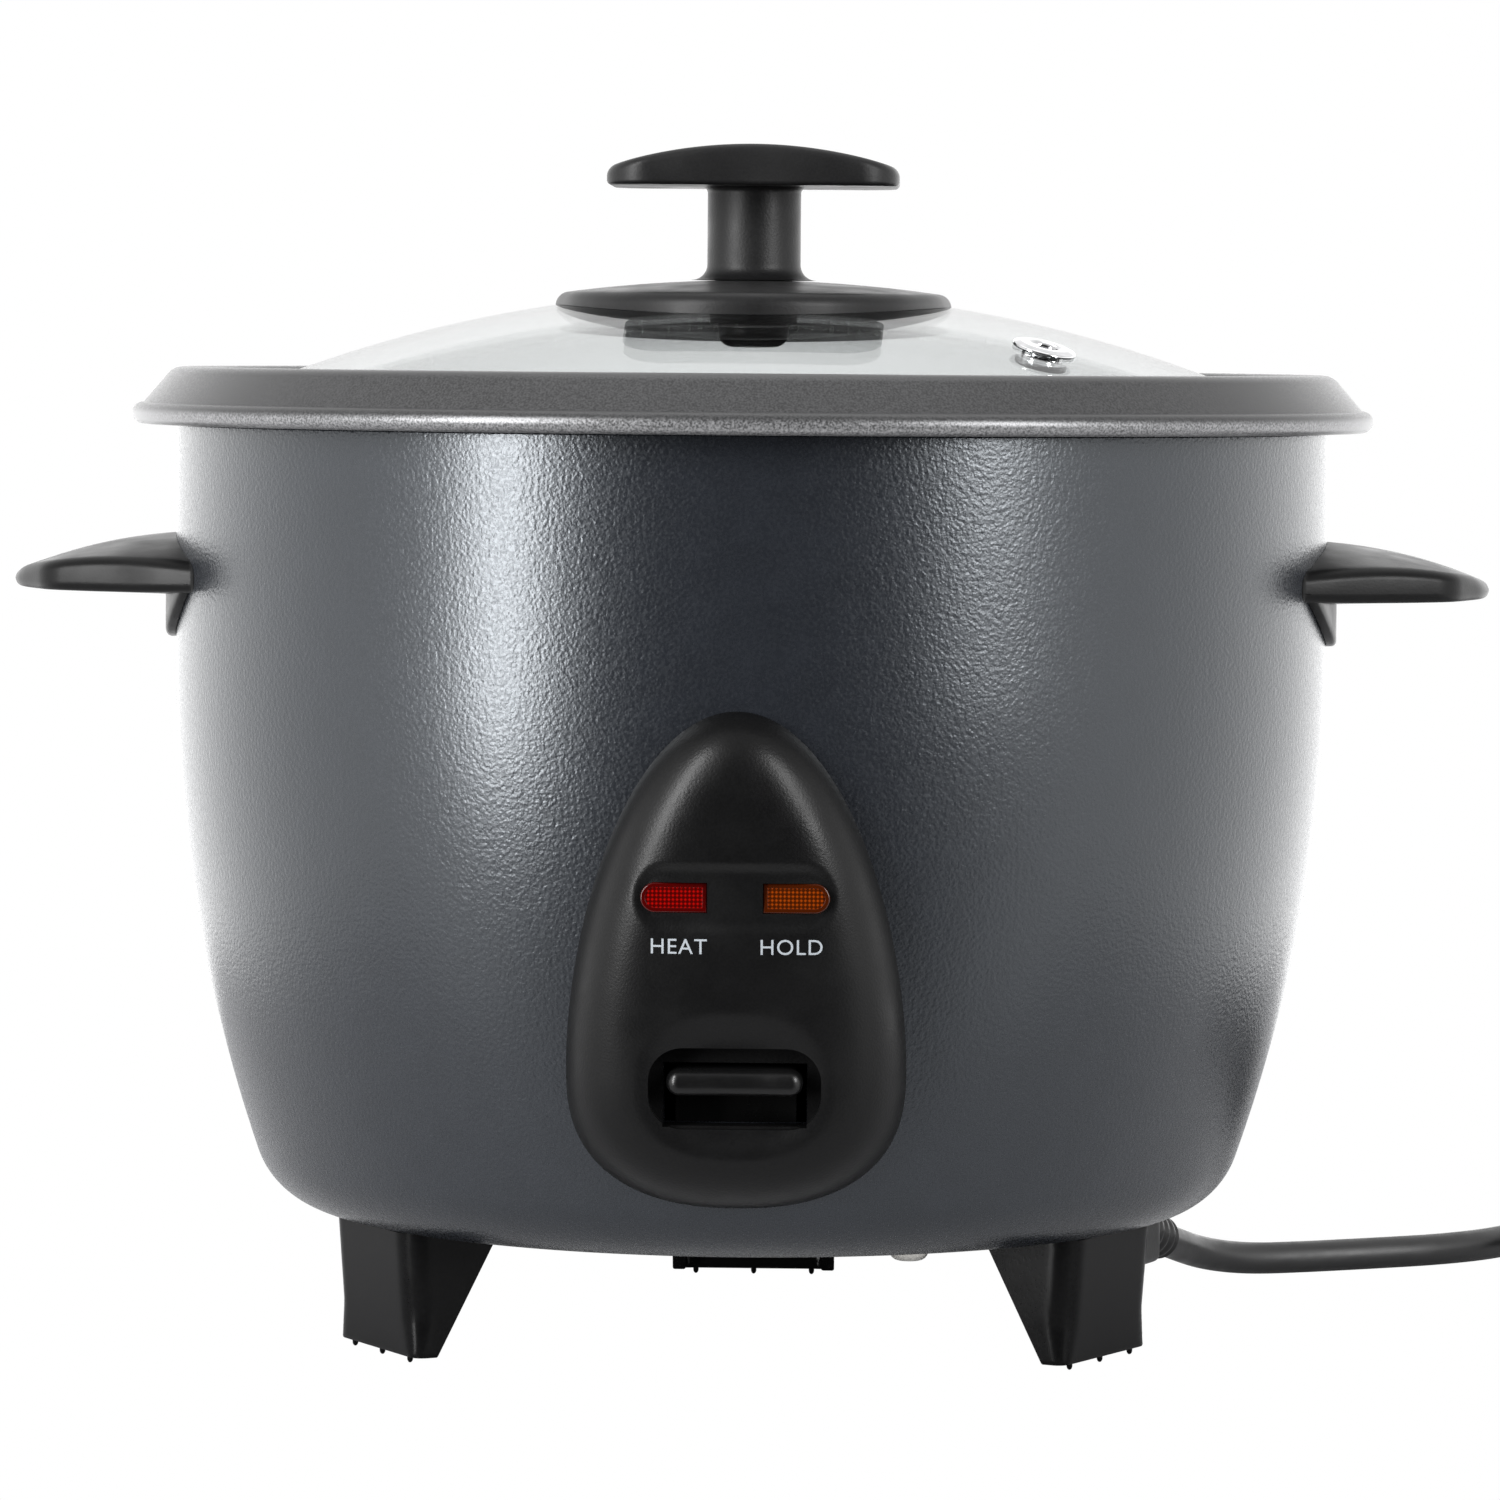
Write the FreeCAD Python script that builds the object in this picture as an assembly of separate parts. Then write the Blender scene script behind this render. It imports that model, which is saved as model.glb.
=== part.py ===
"""Rice cooker with a lift-out pot, a glass lid and a press-down cooking lever.

Millimetres, +Z up, the front faces -Y. The origin is on the table under the body's axis.
Each piece is a function that returns one shape, written to parts/NODE.step.
"""
import os
from math import atan2, cos, degrees, pi, radians, sin, sqrt, tan

import FreeCAD
import Part

V = FreeCAD.Vector
UP = V(0, 0, 1)
ORIGIN = V(0, 0, 0)

# Clearances
slip = 0.3             # between pieces that move past each other
touch = 0.05           # between curved faces of fixed pieces
pin_play = 0.05        # radial, hinge pin in the lever

# Body shell
ledge_r = 96.0         # inner edge of the ledge under the pot's brim
ledge_w = 12.9
body_r = ledge_r + ledge_w    # outside of the straight upper wall
sheet = 0.8            # shell, liner and base sheet
base_z = 24.4          # underside of the body above the table
straight_end_z = 130.0
waist_r = 93.1         # end of the tapering wall
waist_z = 35.0
base_edge_r = 80.2     # end of the bottom corner
lip_w = 14.0           # inward lip that carries the base plate
ledge_z = 171.8        # top of the inward ledge under the pot's brim

# Liner and heater
liner_floor_z = 65.0
liner_corner = 10.0
liner_flange_w = 6.0
heater_r = 80.0
heater_t = 8.0
heater_lift = 7.0      # height of the posts between liner and heater
element_ring_r = 55.0
element_r = 3.5
post_r = 5.0
post_ring_r = 68.0
post_screw_r = 2.0

# Thermostat in the heater's middle
cup_r = 18.0
cup_wall = 1.5
cup_top_t = 2.5
cup_skirt = 10.5
cup_press = 2.0        # how far the cup can be pressed
sleeve_r = 11.5
sleeve_bore_r = 9.2
sleeve_flange_r = 26.0
sleeve_flange_t = 1.2
magnet_r = 8.6
magnet_t = 4.0
magnet_gap = 7.9       # between the two magnets at rest
rod_r = 3.0
cup_spring_r = 13.8
cup_spring_wire_r = 0.8
spring_wire_r = 0.5    # lever spring

# Pot
pot_gap = 2.5          # between the pot's wall and the liner
pot_wall = 1.2
pot_corner = 20.0
brim_gap = 0.5         # between the brim and the shell's ledge
lid_seat_w = 6.5       # flat ring inside the brim, for the lid
ridge_in = 1.2         # the brim's ridge lies this far inside the body's radius
ridge_h = 9.5          # above the lid's seat
ridge_round = 2.0
bead_out = 6.4         # centre of the rolled edge, outside the body's radius
bead_drop = 8.8        # below the ridge
bead_r = 2.0

# Lid
dome_r = 247.0
glass_t = 4.0
glass_rise = 24.5      # top of the dome above the lid's seat
band_t = 0.6
band_w = 4.7
glass_in = 1.2         # glass edge inside the band's outside
lid_gap = 1.0          # between the band and the brim's slope
vent_x = 54.0
vent_y = -48.0
vent_r = 5.9
vent_bore_r = 2.4
vent_neck_r = 3.8
vent_flange_t = 1.1

# Knob
knob_base_x = 75.0
knob_base_y = 96.0
knob_base_t = 2.0
knob_base_dome_r = 236.0
knob_base_edge = 0.9
stem_r = 8.85
stem_h = 17.6
stem_foot = 1.5
grip_x = 55.0
grip_y = 40.0
grip_h = 8.1
grip_end_h = 4.1
grip_corner = 8.0
grip_edge = 1.4
knob_screw_r = 2.5
knob_boss_r = 6.75
knob_boss_h = 4.6
knob_washer_r = 8.3
knob_washer_t = 1.6

# Side handles
handle_out = 30.9      # reach beyond the body
handle_z = 140.4       # underside
handle_root_w = 67.4
handle_tip_w = 52.0
handle_side_h = 4.6
handle_arch = 5.8      # extra height of the arched root
handle_tip_h = 4.4
handle_mid_arch = 4.3  # extra height half way out
handle_tip_corner = 17.0
tongue_drop = 8.8      # tongue below the plate
tongue_t = 2.3
handle_screw_angle = 10.6
screw_r = 1.9
screw_head_r = 3.6
screw_head_t = 1.8

# Feet
foot_out_top = 78.0
foot_out_bottom = 76.2
foot_w = 27.0
foot_wall = 2.6
foot_top_depth = 18.0
foot_bottom_depth = 3.6
foot_corner = 3.0
pip_r = 1.0
pip_h = 1.2
foot_screw_in = 7.0    # from the outer wall to the fixing screw
foot_boss_r = 4.2
foot_boss_h = 9.0

# Control panel
panel_top_z = 124.0
panel_bottom_z = 38.3
panel_wide_z = 60.0
panel_half_w = 28.9
panel_top_full = 1.8   # exponent of the outline's upper curve, higher is fuller
panel_low_full = 2.6   # exponent of its lower curve
panel_low_root = 0.42  # root of its lower curve
panel_bulge = 9.0      # how far it stands off the body
panel_wall = 2.2
panel_shoulder = 6.0
lamp_z = 92.6
lamp_x = 10.7
lens_w = 11.6
lens_h = 5.2
lens_t = 4.0
lens_sink = 0.5
lamp_recess_w = 34.0
lamp_recess_h = 10.7
lamp_recess_d = 0.9
slot_w = 30.4
slot_h = 14.7
slot_z = 59.05
slot_corner = 6.0
pocket_floor = 1.6     # least thickness of the floor behind the lever's opening
panel_boss_r = 3.2
panel_boss_top = 13.0  # upper boss below the panel's top
panel_boss_low = 7.7   # lower bosses above the panel's bottom
panel_boss_angle = 9.0  # lower bosses to each side of the front
holder_deep = 8.0
lamp_r = 1.7
lamp_l = 9.0

# Switch lever
lever_pivot_y = -55.0
lever_pivot_z = 46.0
lever_press = 5.0      # downward travel of the paddle's front edge
lever_bar_w = 10.0
lever_bar_t = 3.0
lever_bar_up = 4.0     # middle of the bar above the pivot
lever_nose_r = 2.5
paddle_w = 24.0
paddle_t = 4.8
paddle_z = 60.35
paddle_sink = 1.0      # front edge behind the panel's face
pin_r = 2.0
pin_over = 2.0
bracket_gap = 0.5
bracket_t = 1.5
bracket_d = 14.0
spring_y = -67.0
lever_spring_r = 4.0
switch_y = -33.0
switch_l = 20.0
switch_w = 10.3
switch_h = 16.0
switch_button_r = 1.5

# Mains side
terminal_l = 24.0
terminal_w = 16.0
terminal_h = 12.0
terminal_x = 42.0
terminal_y = 8.0
fuse_l = 22.0
fuse_r = 2.5
fuse_x = -40.0
fuse_y = 5.0
fuse_clip_h = 4.0

# Power cord
cord_r = 3.25
gland_tip_r = 4.5
gland_root_r = 5.5
gland_l = 30.0
gland_block = 19.0
gland_block_h = 15.0
coil_turn_r = 35.0
tail_l = 24.0          # from the coil to the plug's neck
tail_aside = 2.6       # how far it swings out
plug_l = 40.0
plug_w = 34.0
plug_h = 17.0
plug_edge = 5.0
plug_neck_l = 16.0
plug_pin_r = 2.4
plug_pin_l = 19.0
plug_pin_pitch = 19.0
# Route of the uncoiled lead over the table, from the gland to the coil
cord_route = [
    V(81.0, 56.5, 11.0),
    V(85.2, 66.0, 8.2),
    V(91.4, 74.2, 5.3),
    V(100.2, 80.9, 3.6),
    V(111.4, 86.9, 3.3),
    V(125.2, 93.2, 3.3),
    V(139.8, 100.4, 3.3),
    V(152.2, 110.8, 3.3),
    V(160.2, 124.6, 3.3),
    V(163.0, 140.2, 3.3),
]

# Heights and radii that follow from the above
liner_r = ledge_r
heater_bottom_z = liner_floor_z + heater_lift
heater_top_z = heater_bottom_z + heater_t
pot_r = liner_r - pot_gap
seat_z = ledge_z + brim_gap + pot_wall
seat_r = pot_r - pot_wall + lid_seat_w
ridge_r = body_r - ridge_in
ridge_z = seat_z + ridge_h
band_r = seat_r - lid_gap
glass_r = band_r - glass_in
dome_top_z = seat_z + glass_rise
dome_mid_z = dome_top_z - dome_r
base_top_z = base_z + 2 * sheet


def path(start, heading, *steps):
    """Wire of (r, z) points: a "line" step is straight, a "bend" step an arc tangent to the last step.

    A "sweep" step is the same arc as a spline, for an arc whose middle lies beyond the body's axis.
    """
    here = V(start[0], 0, start[1])
    heading = V(heading[0], 0, heading[1]).normalize()
    edges = []
    for kind, r, z in steps:
        end = V(r, 0, z)
        chord = end - here
        half = chord.Length / 2
        chord.normalize()
        if kind == "line":
            edges.append(Part.LineSegment(here, end).toShape())
            heading = chord
        else:
            along = heading.dot(chord)
            aside = heading - chord * along
            rise = half * tan(atan2(aside.Length, along) / 2)
            middle = (here + end) * 0.5 + aside.normalize() * rise
            bend = Part.Arc(here, middle, end)
            edges.append((bend.toBSpline() if kind == "sweep" else bend).toShape())
            heading = chord * (2 * along) - heading
        here = end
    return Part.Wire(edges)


def turned(wire):
    """Solid of revolution about +Z from a closed (r, z) wire."""
    return Part.Face(wire).revolve(ORIGIN, UP, 360)


def turned_sheet(wire, thickness):
    """Sheet of revolution: the open path thickened to its left."""
    face = wire.makeOffset2D(thickness, join=2, fill=True, openResult=True)
    return face.revolve(ORIGIN, UP, 360)


def closed(*points):
    """Closed wire of straight runs."""
    return Part.makePolygon(list(points) + [points[0]])


def prism(wire, reach):
    """Solid that carries a flat closed wire along a vector."""
    return Part.Face(wire).extrude(reach)


def box(low, high):
    """Upright box between two corners."""
    return Part.makeBox(high.x - low.x, high.y - low.y, high.z - low.z, low)


def rod(start, end, radius):
    """Round bar from one point to another."""
    return Part.makeCylinder(radius, (end - start).Length, start, end - start)


def ring(inner, outer, low, high):
    """Upright tube between two heights."""
    tube = rod(V(0, 0, low), V(0, 0, high), outer)
    return tube.cut(rod(V(0, 0, low), V(0, 0, high), inner))


def rounded(width, depth, corner):
    """Rounded rectangle about the origin, lying on X and Y."""
    x = width / 2
    y = depth / 2
    r = min(corner, 0.999 * x, 0.999 * y)
    k = r * (1 - sqrt(0.5))
    ends = [V(x - r, -y, 0), V(x, r - y, 0), V(x, y - r, 0), V(x - r, y, 0),
            V(r - x, y, 0), V(-x, y - r, 0), V(-x, r - y, 0), V(r - x, -y, 0)]
    middles = [V(x - k, k - y, 0), V(x - k, y - k, 0), V(k - x, y - k, 0), V(k - x, k - y, 0)]
    edges = []
    for i, middle in enumerate(middles):
        edges.append(Part.Arc(ends[2 * i], middle, ends[2 * i + 1]).toShape())
        edges.append(Part.LineSegment(ends[2 * i + 1], ends[(2 * i + 2) % 8]).toShape())
    return Part.Wire(edges)


def facing_front(wire, place):
    """Flat wire stood up to face -Y, with its middle moved to a place."""
    copy = wire.copy()
    copy.rotate(ORIGIN, V(1, 0, 0), 90)
    return copy.translated(place)


def polar(r, angle, z):
    """Point at a radius and an angle from +X about the body's axis."""
    return V(r * cos(radians(angle)), r * sin(radians(angle)), z)


def spun(shape, angle):
    """Copy of a shape turned about the body's axis."""
    copy = shape.copy()
    copy.rotate(ORIGIN, UP, angle)
    return copy


def screw(head_at, tip_at, shank_r, head_r, head_t):
    """Pan-head screw, its head outside head_at and its tip at tip_at."""
    way = (tip_at - head_at).normalize()
    shank = rod(head_at - way * (head_t / 2), tip_at, shank_r)
    return shank.fuse(rod(head_at - way * head_t, head_at, head_r))


def coil_spring(radius, wire_r, low, high, turns, name):
    """Round-wire compression spring standing on +Z, its turns made of short runs and arcs."""
    bottom = low + wire_r + touch
    height = high - low - 2 * (wire_r + touch)
    steps = int(turns * SPRING_STEPS)
    points = [polar(radius, 360 * i / SPRING_STEPS, bottom + height * i / steps) for i in range(steps + 1)]
    return tube(points, wire_r, name)


SPRING_STEPS = 10      # corners in each turn of a spring


taper_z = straight_end_z - waist_z
taper_r = (taper_z ** 2 + (body_r - waist_r) ** 2) / (2 * (body_r - waist_r))


def wall_r(z):
    """Outside radius of the body at a height above its waist."""
    down = max(straight_end_z - z, 0)
    return body_r - taper_r + sqrt(taper_r ** 2 - down ** 2)


def taper_end(off):
    """Radius and height of the taper's lower end on the body's outside, grown by an offset."""
    lean = atan2(taper_z, taper_r - body_r + waist_r)
    return body_r - taper_r + (taper_r + off) * cos(lean), straight_end_z - (taper_r + off) * sin(lean)


def body_form(off):
    """Solid with the body's outside, grown by an offset, from the waist to the ledge."""
    low_r, low_z = taper_end(off)
    outside = path(
        (0, ledge_z), (1, 0),
        ("line", body_r + off, ledge_z),
        ("line", body_r + off, straight_end_z),
        ("sweep", low_r, low_z),
        ("line", 0, low_z),
        ("line", 0, ledge_z))
    return turned(outside)


def body_line(off):
    """Section of the body from the ledge's inner edge down to the lip's inner edge, grown by an offset."""
    return path(
        (ledge_r, ledge_z + off), (1, 0),
        ("line", body_r + off, ledge_z + off),
        ("line", body_r + off, straight_end_z),
        ("sweep", *taper_end(off)),
        ("bend", base_edge_r, base_z - off),
        ("line", base_edge_r - lip_w, base_z - off))


def outer_shell():
    """Drawn body with an inward ledge above and an inward lip below, and its front openings."""
    outside = body_line(0)
    inside = body_line(-sheet)
    ends = [Part.LineSegment(V(r, 0, z), V(r, 0, z - way * sheet)).toShape()
            for r, z, way in ((ledge_r, ledge_z, 1), (base_edge_r - lip_w, base_z, -1))]
    section = Part.Wire(Part.__sortEdges__(outside.Edges + inside.Edges + ends))
    shell = turned(section)
    cuts = [lever_way(slip), lamp_window(slip)]
    cuts += [rod(a, b, screw_r + touch) for a, b in handle_screw_lines() + panel_screw_lines()]
    cuts += [rod(a, b, screw_r + touch) for a, b in foot_screw_lines() + base_screw_lines()]
    return shell.cut(cuts)


def base_plate():
    """Bottom cover lying on the shell's lip."""
    z = base_z + sheet
    r = base_edge_r - 2 * sheet
    plate = rod(V(0, 0, z), V(0, 0, z + sheet), r)
    cuts = [rod(a, b, screw_r + touch) for a, b in foot_screw_lines() + base_screw_lines()]
    return plate.cut(cuts)


FRONT = -90
FOOT_ANGLES = {"foot_front_left": FRONT - 60, "foot_front_right": FRONT + 60, "foot_rear": FRONT + 180}
BASE_SCREW_ANGLES = [FRONT + 25 + 120 * step for step in range(3)]
HANDLE_SIDES = {"handle_left": 180, "handle_right": 0}
POST_ANGLES = (FRONT + 60, FRONT + 180, FRONT - 60)


def foot_screw_lines():
    """Head and tip of each foot's screw, driven down from inside the base."""
    r = foot_out_top - foot_screw_in
    tip_z = base_z - foot_boss_h + foot_wall
    return [(polar(r, a, base_top_z), polar(r, a, tip_z)) for a in FOOT_ANGLES.values()]


def base_screw_lines():
    """Head and tip of each base screw, driven up through the lip and the plate."""
    r = base_edge_r - lip_w / 2
    return [(polar(r, a, base_z), polar(r, a, base_top_z + 4 * screw_r)) for a in BASE_SCREW_ANGLES]


def handle_screw_lines():
    """Head and tip of each handle screw, driven outwards from inside the shell."""
    z = handle_z + handle_side_h / 2
    angles = [side + way * handle_screw_angle for side in HANDLE_SIDES.values() for way in (-1, 1)]
    head_r = body_r - sheet - touch - screw_head_r ** 2 / body_r
    return [(polar(head_r, a, z), polar(body_r + 5 * screw_r, a, z)) for a in angles]


def panel_screw_lines():
    """Head and tip of each panel screw, driven outwards into the panel's bosses."""
    low_z = panel_bottom_z + panel_boss_low
    places = [(FRONT, panel_top_z - panel_boss_top)]
    places += [(FRONT + way * panel_boss_angle, low_z) for way in (-1, 1)]
    lines = []
    for angle, z in places:
        head_r = wall_r(z - screw_head_r) - sheet - touch - screw_head_r ** 2 / body_r
        lines.append((polar(head_r, angle, z), polar(wall_r(z) + panel_bulge - 2 * panel_wall, angle, z)))
    return lines


def screws(lines):
    """Group of like screws."""
    return Part.makeCompound([screw(a, b, screw_r, screw_head_r, screw_head_t) for a, b in lines])


def foot(angle):
    """Moulded foot: outer wall with two tapering gussets, a screw boss and three pips."""
    half = foot_w / 2
    side = closed(
        V(foot_out_bottom, -half, pip_h),
        V(foot_out_top, -half, base_z),
        V(foot_out_top - foot_top_depth, -half, base_z),
        V(foot_out_bottom - foot_bottom_depth, -half, pip_h))
    block = prism(side, V(0, foot_w, 0))
    inner_x = foot_out_bottom - foot_bottom_depth / 2
    corners = [e for e in block.Edges if e.BoundBox.XMin > inner_x and e.BoundBox.ZLength > foot_wall]
    block = block.makeFillet(foot_corner, corners)
    pocket = closed(
        V(foot_out_bottom - foot_wall, foot_wall - half, pip_h - foot_wall),
        V(foot_out_top - foot_wall, foot_wall - half, base_z - foot_wall),
        V(foot_out_top - 2 * foot_top_depth, foot_wall - half, base_z - foot_wall),
        V(foot_out_top - 2 * foot_top_depth, foot_wall - half, pip_h - foot_wall))
    block = block.cut(prism(pocket, V(0, foot_w - 2 * foot_wall, 0)))
    boss_r = foot_out_top - foot_screw_in
    boss = rod(V(boss_r, 0, base_z - foot_boss_h), V(boss_r, 0, base_z), foot_boss_r)
    pip_x = foot_out_bottom - foot_wall / 2
    pip_y = half - foot_corner
    pips = [rod(V(pip_x, y, 0), V(pip_x, y, pip_h + pip_r), pip_r) for y in (-pip_y, 0, pip_y)]
    block = block.fuse([boss] + pips).removeSplitter()
    return spun(block.cut(rod(V(boss_r, 0, 0), V(boss_r, 0, base_z), screw_r + touch)), angle)


def handle(angle):
    """Side handle: arched wedge with a rounded end and a tongue that lies on the body."""
    tip_x = body_r + handle_out
    root_half = handle_root_w / 2
    tip_half = handle_tip_w / 2
    side_half = root_half + handle_side_h
    sections = []
    for x, crest in ((body_r - handle_side_h * 2, handle_side_h + handle_arch),
                     (body_r + handle_out / 2, handle_side_h + handle_mid_arch),
                     (tip_x, handle_tip_h)):
        low = V(x, 0, handle_z)
        side_top = V(0, 0, min(handle_side_h, 0.8 * crest))
        left = low - V(0, side_half, 0)
        right = low + V(0, side_half, 0)
        arch = Part.Arc(right + side_top, low + V(0, 0, crest), left + side_top).toShape()
        sides = [Part.LineSegment(left + side_top, left).toShape(),
                 Part.LineSegment(left, right).toShape(),
                 Part.LineSegment(right, right + side_top).toShape()]
        sections.append(Part.Wire(sides + [arch]))
    wedge = Part.makeLoft(sections, True, False)
    shoulder_x = tip_x - handle_tip_corner / 2
    root_x = sqrt(body_r ** 2 - root_half ** 2)
    corners = [V(0, -root_half, handle_z - 1), V(root_x, -root_half, handle_z - 1),
               V(shoulder_x, -tip_half, handle_z - 1)]
    mirrored = [V(p.x, -p.y, p.z) for p in reversed(corners)]
    runs = corners + [None] + mirrored
    edges = [Part.LineSegment(a, b).toShape() for a, b in zip(runs, runs[1:]) if a and b]
    edges.insert(2, Part.Arc(corners[2], V(tip_x, 0, handle_z - 1), mirrored[0]).toShape())
    edges.append(Part.LineSegment(mirrored[2], corners[0]).toShape())
    plan = prism(Part.Wire(edges), V(0, 0, 2 + handle_side_h + handle_arch))
    upright = [e for e in plan.Edges
               if e.BoundBox.XLength < touch and e.BoundBox.ZLength > 1 and e.BoundBox.XMin > body_r]
    wedge = wedge.common(plan.makeFillet(handle_tip_corner / 2, upright))
    tongue_top = handle_z + handle_side_h / 2
    arc = Part.Arc(V(0, -root_half, tongue_top), V(0, 0, handle_z - tongue_drop), V(0, root_half, tongue_top))
    chord = Part.LineSegment(V(0, root_half, tongue_top), V(0, -root_half, tongue_top))
    outline = Part.Wire([arc.toShape(), chord.toShape()])
    drum = rod(V(0, 0, handle_z - 2 * tongue_drop), V(0, 0, tongue_top + 1), body_r + tongue_t)
    tongue = prism(outline, V(tip_x, 0, 0)).common(drum)
    shape = wedge.fuse(tongue).cut(rod(V(0, 0, 0), V(0, 0, 2 * handle_z), body_r + touch)).removeSplitter()
    holes = [rod(a, b, screw_r + touch) for a, b in handle_screw_lines()]
    return spun(shape, angle).cut(holes)


def heat_shield():
    """Inner liner: drawn can whose flange hangs under the shell's ledge."""
    inside = path(
        (liner_r + liner_flange_w, ledge_z - sheet), (-1, 0),
        ("line", liner_r, ledge_z - sheet),
        ("line", liner_r, liner_floor_z + liner_corner),
        ("bend", liner_r - liner_corner, liner_floor_z),
        ("line", sleeve_r + touch, liner_floor_z))
    can = turned_sheet(inside, sheet)
    cuts = [rod(a, b, post_screw_r + touch) for a, b in post_screw_lines()]
    cuts += [rod(p - UP * heater_lift * 2, p, 2 * element_r) for p in element_ends()]
    return can.cut(cuts)


def post_screw_lines():
    """Head and tip of each screw that holds the heater, driven up from under the liner."""
    low = liner_floor_z - sheet
    high = heater_bottom_z + heater_t / 2
    return [(polar(post_ring_r, a, low), polar(post_ring_r, a, high)) for a in POST_ANGLES]


def heater_posts():
    """Spacers between the liner's floor and the heater."""
    posts = []
    for a, b in post_screw_lines():
        post = rod(V(a.x, a.y, liner_floor_z), V(a.x, a.y, heater_bottom_z), post_r)
        posts.append(post.cut(rod(a, b, post_screw_r + touch)))
    return Part.makeCompound(posts)


def heater_screws():
    """Screws through the liner and the posts into the heater."""
    heads = 1.8 * post_screw_r
    lines = post_screw_lines()
    return Part.makeCompound([screw(a, b, post_screw_r, heads, post_screw_r * 0.9) for a, b in lines])


ELEMENT_OPEN = 40      # degrees without element, between its two ends


def element_ends():
    """Middle of the heating element's two ends, at the heater's underside."""
    return [polar(element_ring_r, FRONT + 180 + way * ELEMENT_OPEN / 2, heater_bottom_z) for way in (-1, 1)]


def heating_element():
    """Ring element set half its thickness into the heater, with two terminals that point down."""
    sweep = 360 - ELEMENT_OPEN
    loop = Part.makeTorus(element_ring_r, element_r, ORIGIN, UP, -180, 180, sweep)
    loop = spun(loop, FRONT + 180 + ELEMENT_OPEN / 2).translated(UP * heater_bottom_z)
    ends = element_ends()
    pins = [rod(p - UP * heater_lift * 2, p, element_r * 0.6) for p in ends]
    balls = [Part.makeSphere(element_r, p) for p in ends]
    return loop.fuse(pins + balls)


def heater_plate():
    """Cast plate with the element's groove and a hole for the thermostat."""
    plate = rod(V(0, 0, heater_bottom_z), V(0, 0, heater_top_z), heater_r)
    plate = plate.makeFillet(heater_t / 5, [e for e in plate.Edges if e.Closed])
    groove = Part.makeTorus(element_ring_r, element_r + touch, V(0, 0, heater_bottom_z))
    cuts = [groove, rod(V(0, 0, 0), V(0, 0, heater_top_z), cup_r + 2 * slip)]
    cuts += [rod(a, b, post_screw_r + touch) for a, b in post_screw_lines()]
    return plate.cut(cuts)


cup_top_z = heater_top_z - slip
cup_under_z = cup_top_z - cup_top_t
upper_magnet_z = cup_under_z - magnet_t
plunger_top_z = upper_magnet_z - magnet_gap
nose_z = lever_pivot_z + lever_bar_up
rod_low_z = nose_z + lever_nose_r + slip


def thermostat_cup():
    """Sensor cap in the heater's middle, open below."""
    low = cup_top_z - cup_skirt
    cap = rod(V(0, 0, low), V(0, 0, cup_top_z), cup_r)
    return cap.cut(rod(V(0, 0, low), V(0, 0, cup_under_z), cup_r - cup_wall))


def upper_magnet():
    """Magnet fixed under the sensor cap."""
    return rod(V(0, 0, upper_magnet_z), V(0, 0, cup_under_z), magnet_r)


def thermostat_sleeve():
    """Guide tube through the liner's floor, with a flange that lies on it."""
    top = upper_magnet_z - cup_press - 2 * slip
    low = plunger_top_z - 2 * magnet_t - slip
    tube = ring(sleeve_bore_r, sleeve_r, low, top)
    flange = ring(sleeve_bore_r, sleeve_flange_r, liner_floor_z, liner_floor_z + sleeve_flange_t)
    return tube.fuse(flange).removeSplitter()


def thermostat_spring():
    """Spring round the sleeve that holds the sensor cap up."""
    low = liner_floor_z + sleeve_flange_t
    return coil_spring(cup_spring_r, cup_spring_wire_r, low, cup_under_z, 3.5, "cup spring")


def magnet_plunger():
    """Lower magnet on a rod that stands on the lever's nose."""
    body = rod(V(0, 0, plunger_top_z - 2 * magnet_t), V(0, 0, plunger_top_z), magnet_r)
    return body.fuse(rod(V(0, 0, rod_low_z), V(0, 0, plunger_top_z - magnet_t), rod_r)).removeSplitter()


def inner_pot():
    """Drawn cooking pot: flat seat for the lid, then a ridged brim with a rolled edge."""
    bead_at = body_r + bead_out
    bead_z = ridge_z - bead_drop
    crest_z = ridge_z - pot_wall - ridge_round / 2
    under = path(
        (0, heater_top_z), (1, 0),
        ("line", pot_r - pot_corner, heater_top_z),
        ("bend", pot_r, heater_top_z + pot_corner),
        ("line", pot_r, seat_z - pot_wall),
        ("line", seat_r, seat_z - pot_wall),
        ("line", ridge_r - ridge_round, crest_z),
        ("bend", ridge_r + ridge_round, crest_z),
        ("line", bead_at, bead_z))
    bead = Part.Face(Part.Wire(Part.makeCircle(bead_r, V(bead_at, 0, bead_z), V(0, 1, 0))))
    section = under.makeOffset2D(pot_wall, join=2, fill=True, openResult=True)
    section = section.fuse(bead).removeSplitter().Faces[0]
    return section.revolve(ORIGIN, UP, 360)


def dome_z(r, sphere_r):
    """Height of a sphere about the dome's middle at a radius."""
    return dome_mid_z + sqrt(sphere_r ** 2 - r ** 2)


def dome_arc(start_r, end_r, sphere_r):
    """Arc of the dome's section between two radii."""
    points = [V(r, 0, dome_z(r, sphere_r)) for r in (start_r, (start_r + end_r) / 2, end_r)]
    return Part.Arc(*points).toShape()


def join(*edges):
    """Closed wire from arcs in order, with straight runs between them."""
    runs = []
    for a, b in zip(edges, edges[1:] + edges[:1]):
        runs.append(a)
        gap_from = a.valueAt(a.LastParameter)
        gap_to = b.valueAt(b.FirstParameter)
        if gap_from.distanceToPoint(gap_to) > 1e-6:
            runs.append(Part.LineSegment(gap_from, gap_to).toShape())
    return Part.Wire(runs)


def vent_line():
    """Point on the dome's outside at the vent, and the dome's normal there."""
    lift = sqrt(dome_r ** 2 - vent_x ** 2 - vent_y ** 2)
    return V(vent_x, vent_y, dome_mid_z + lift), V(vent_x, vent_y, lift).normalize()


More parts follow.
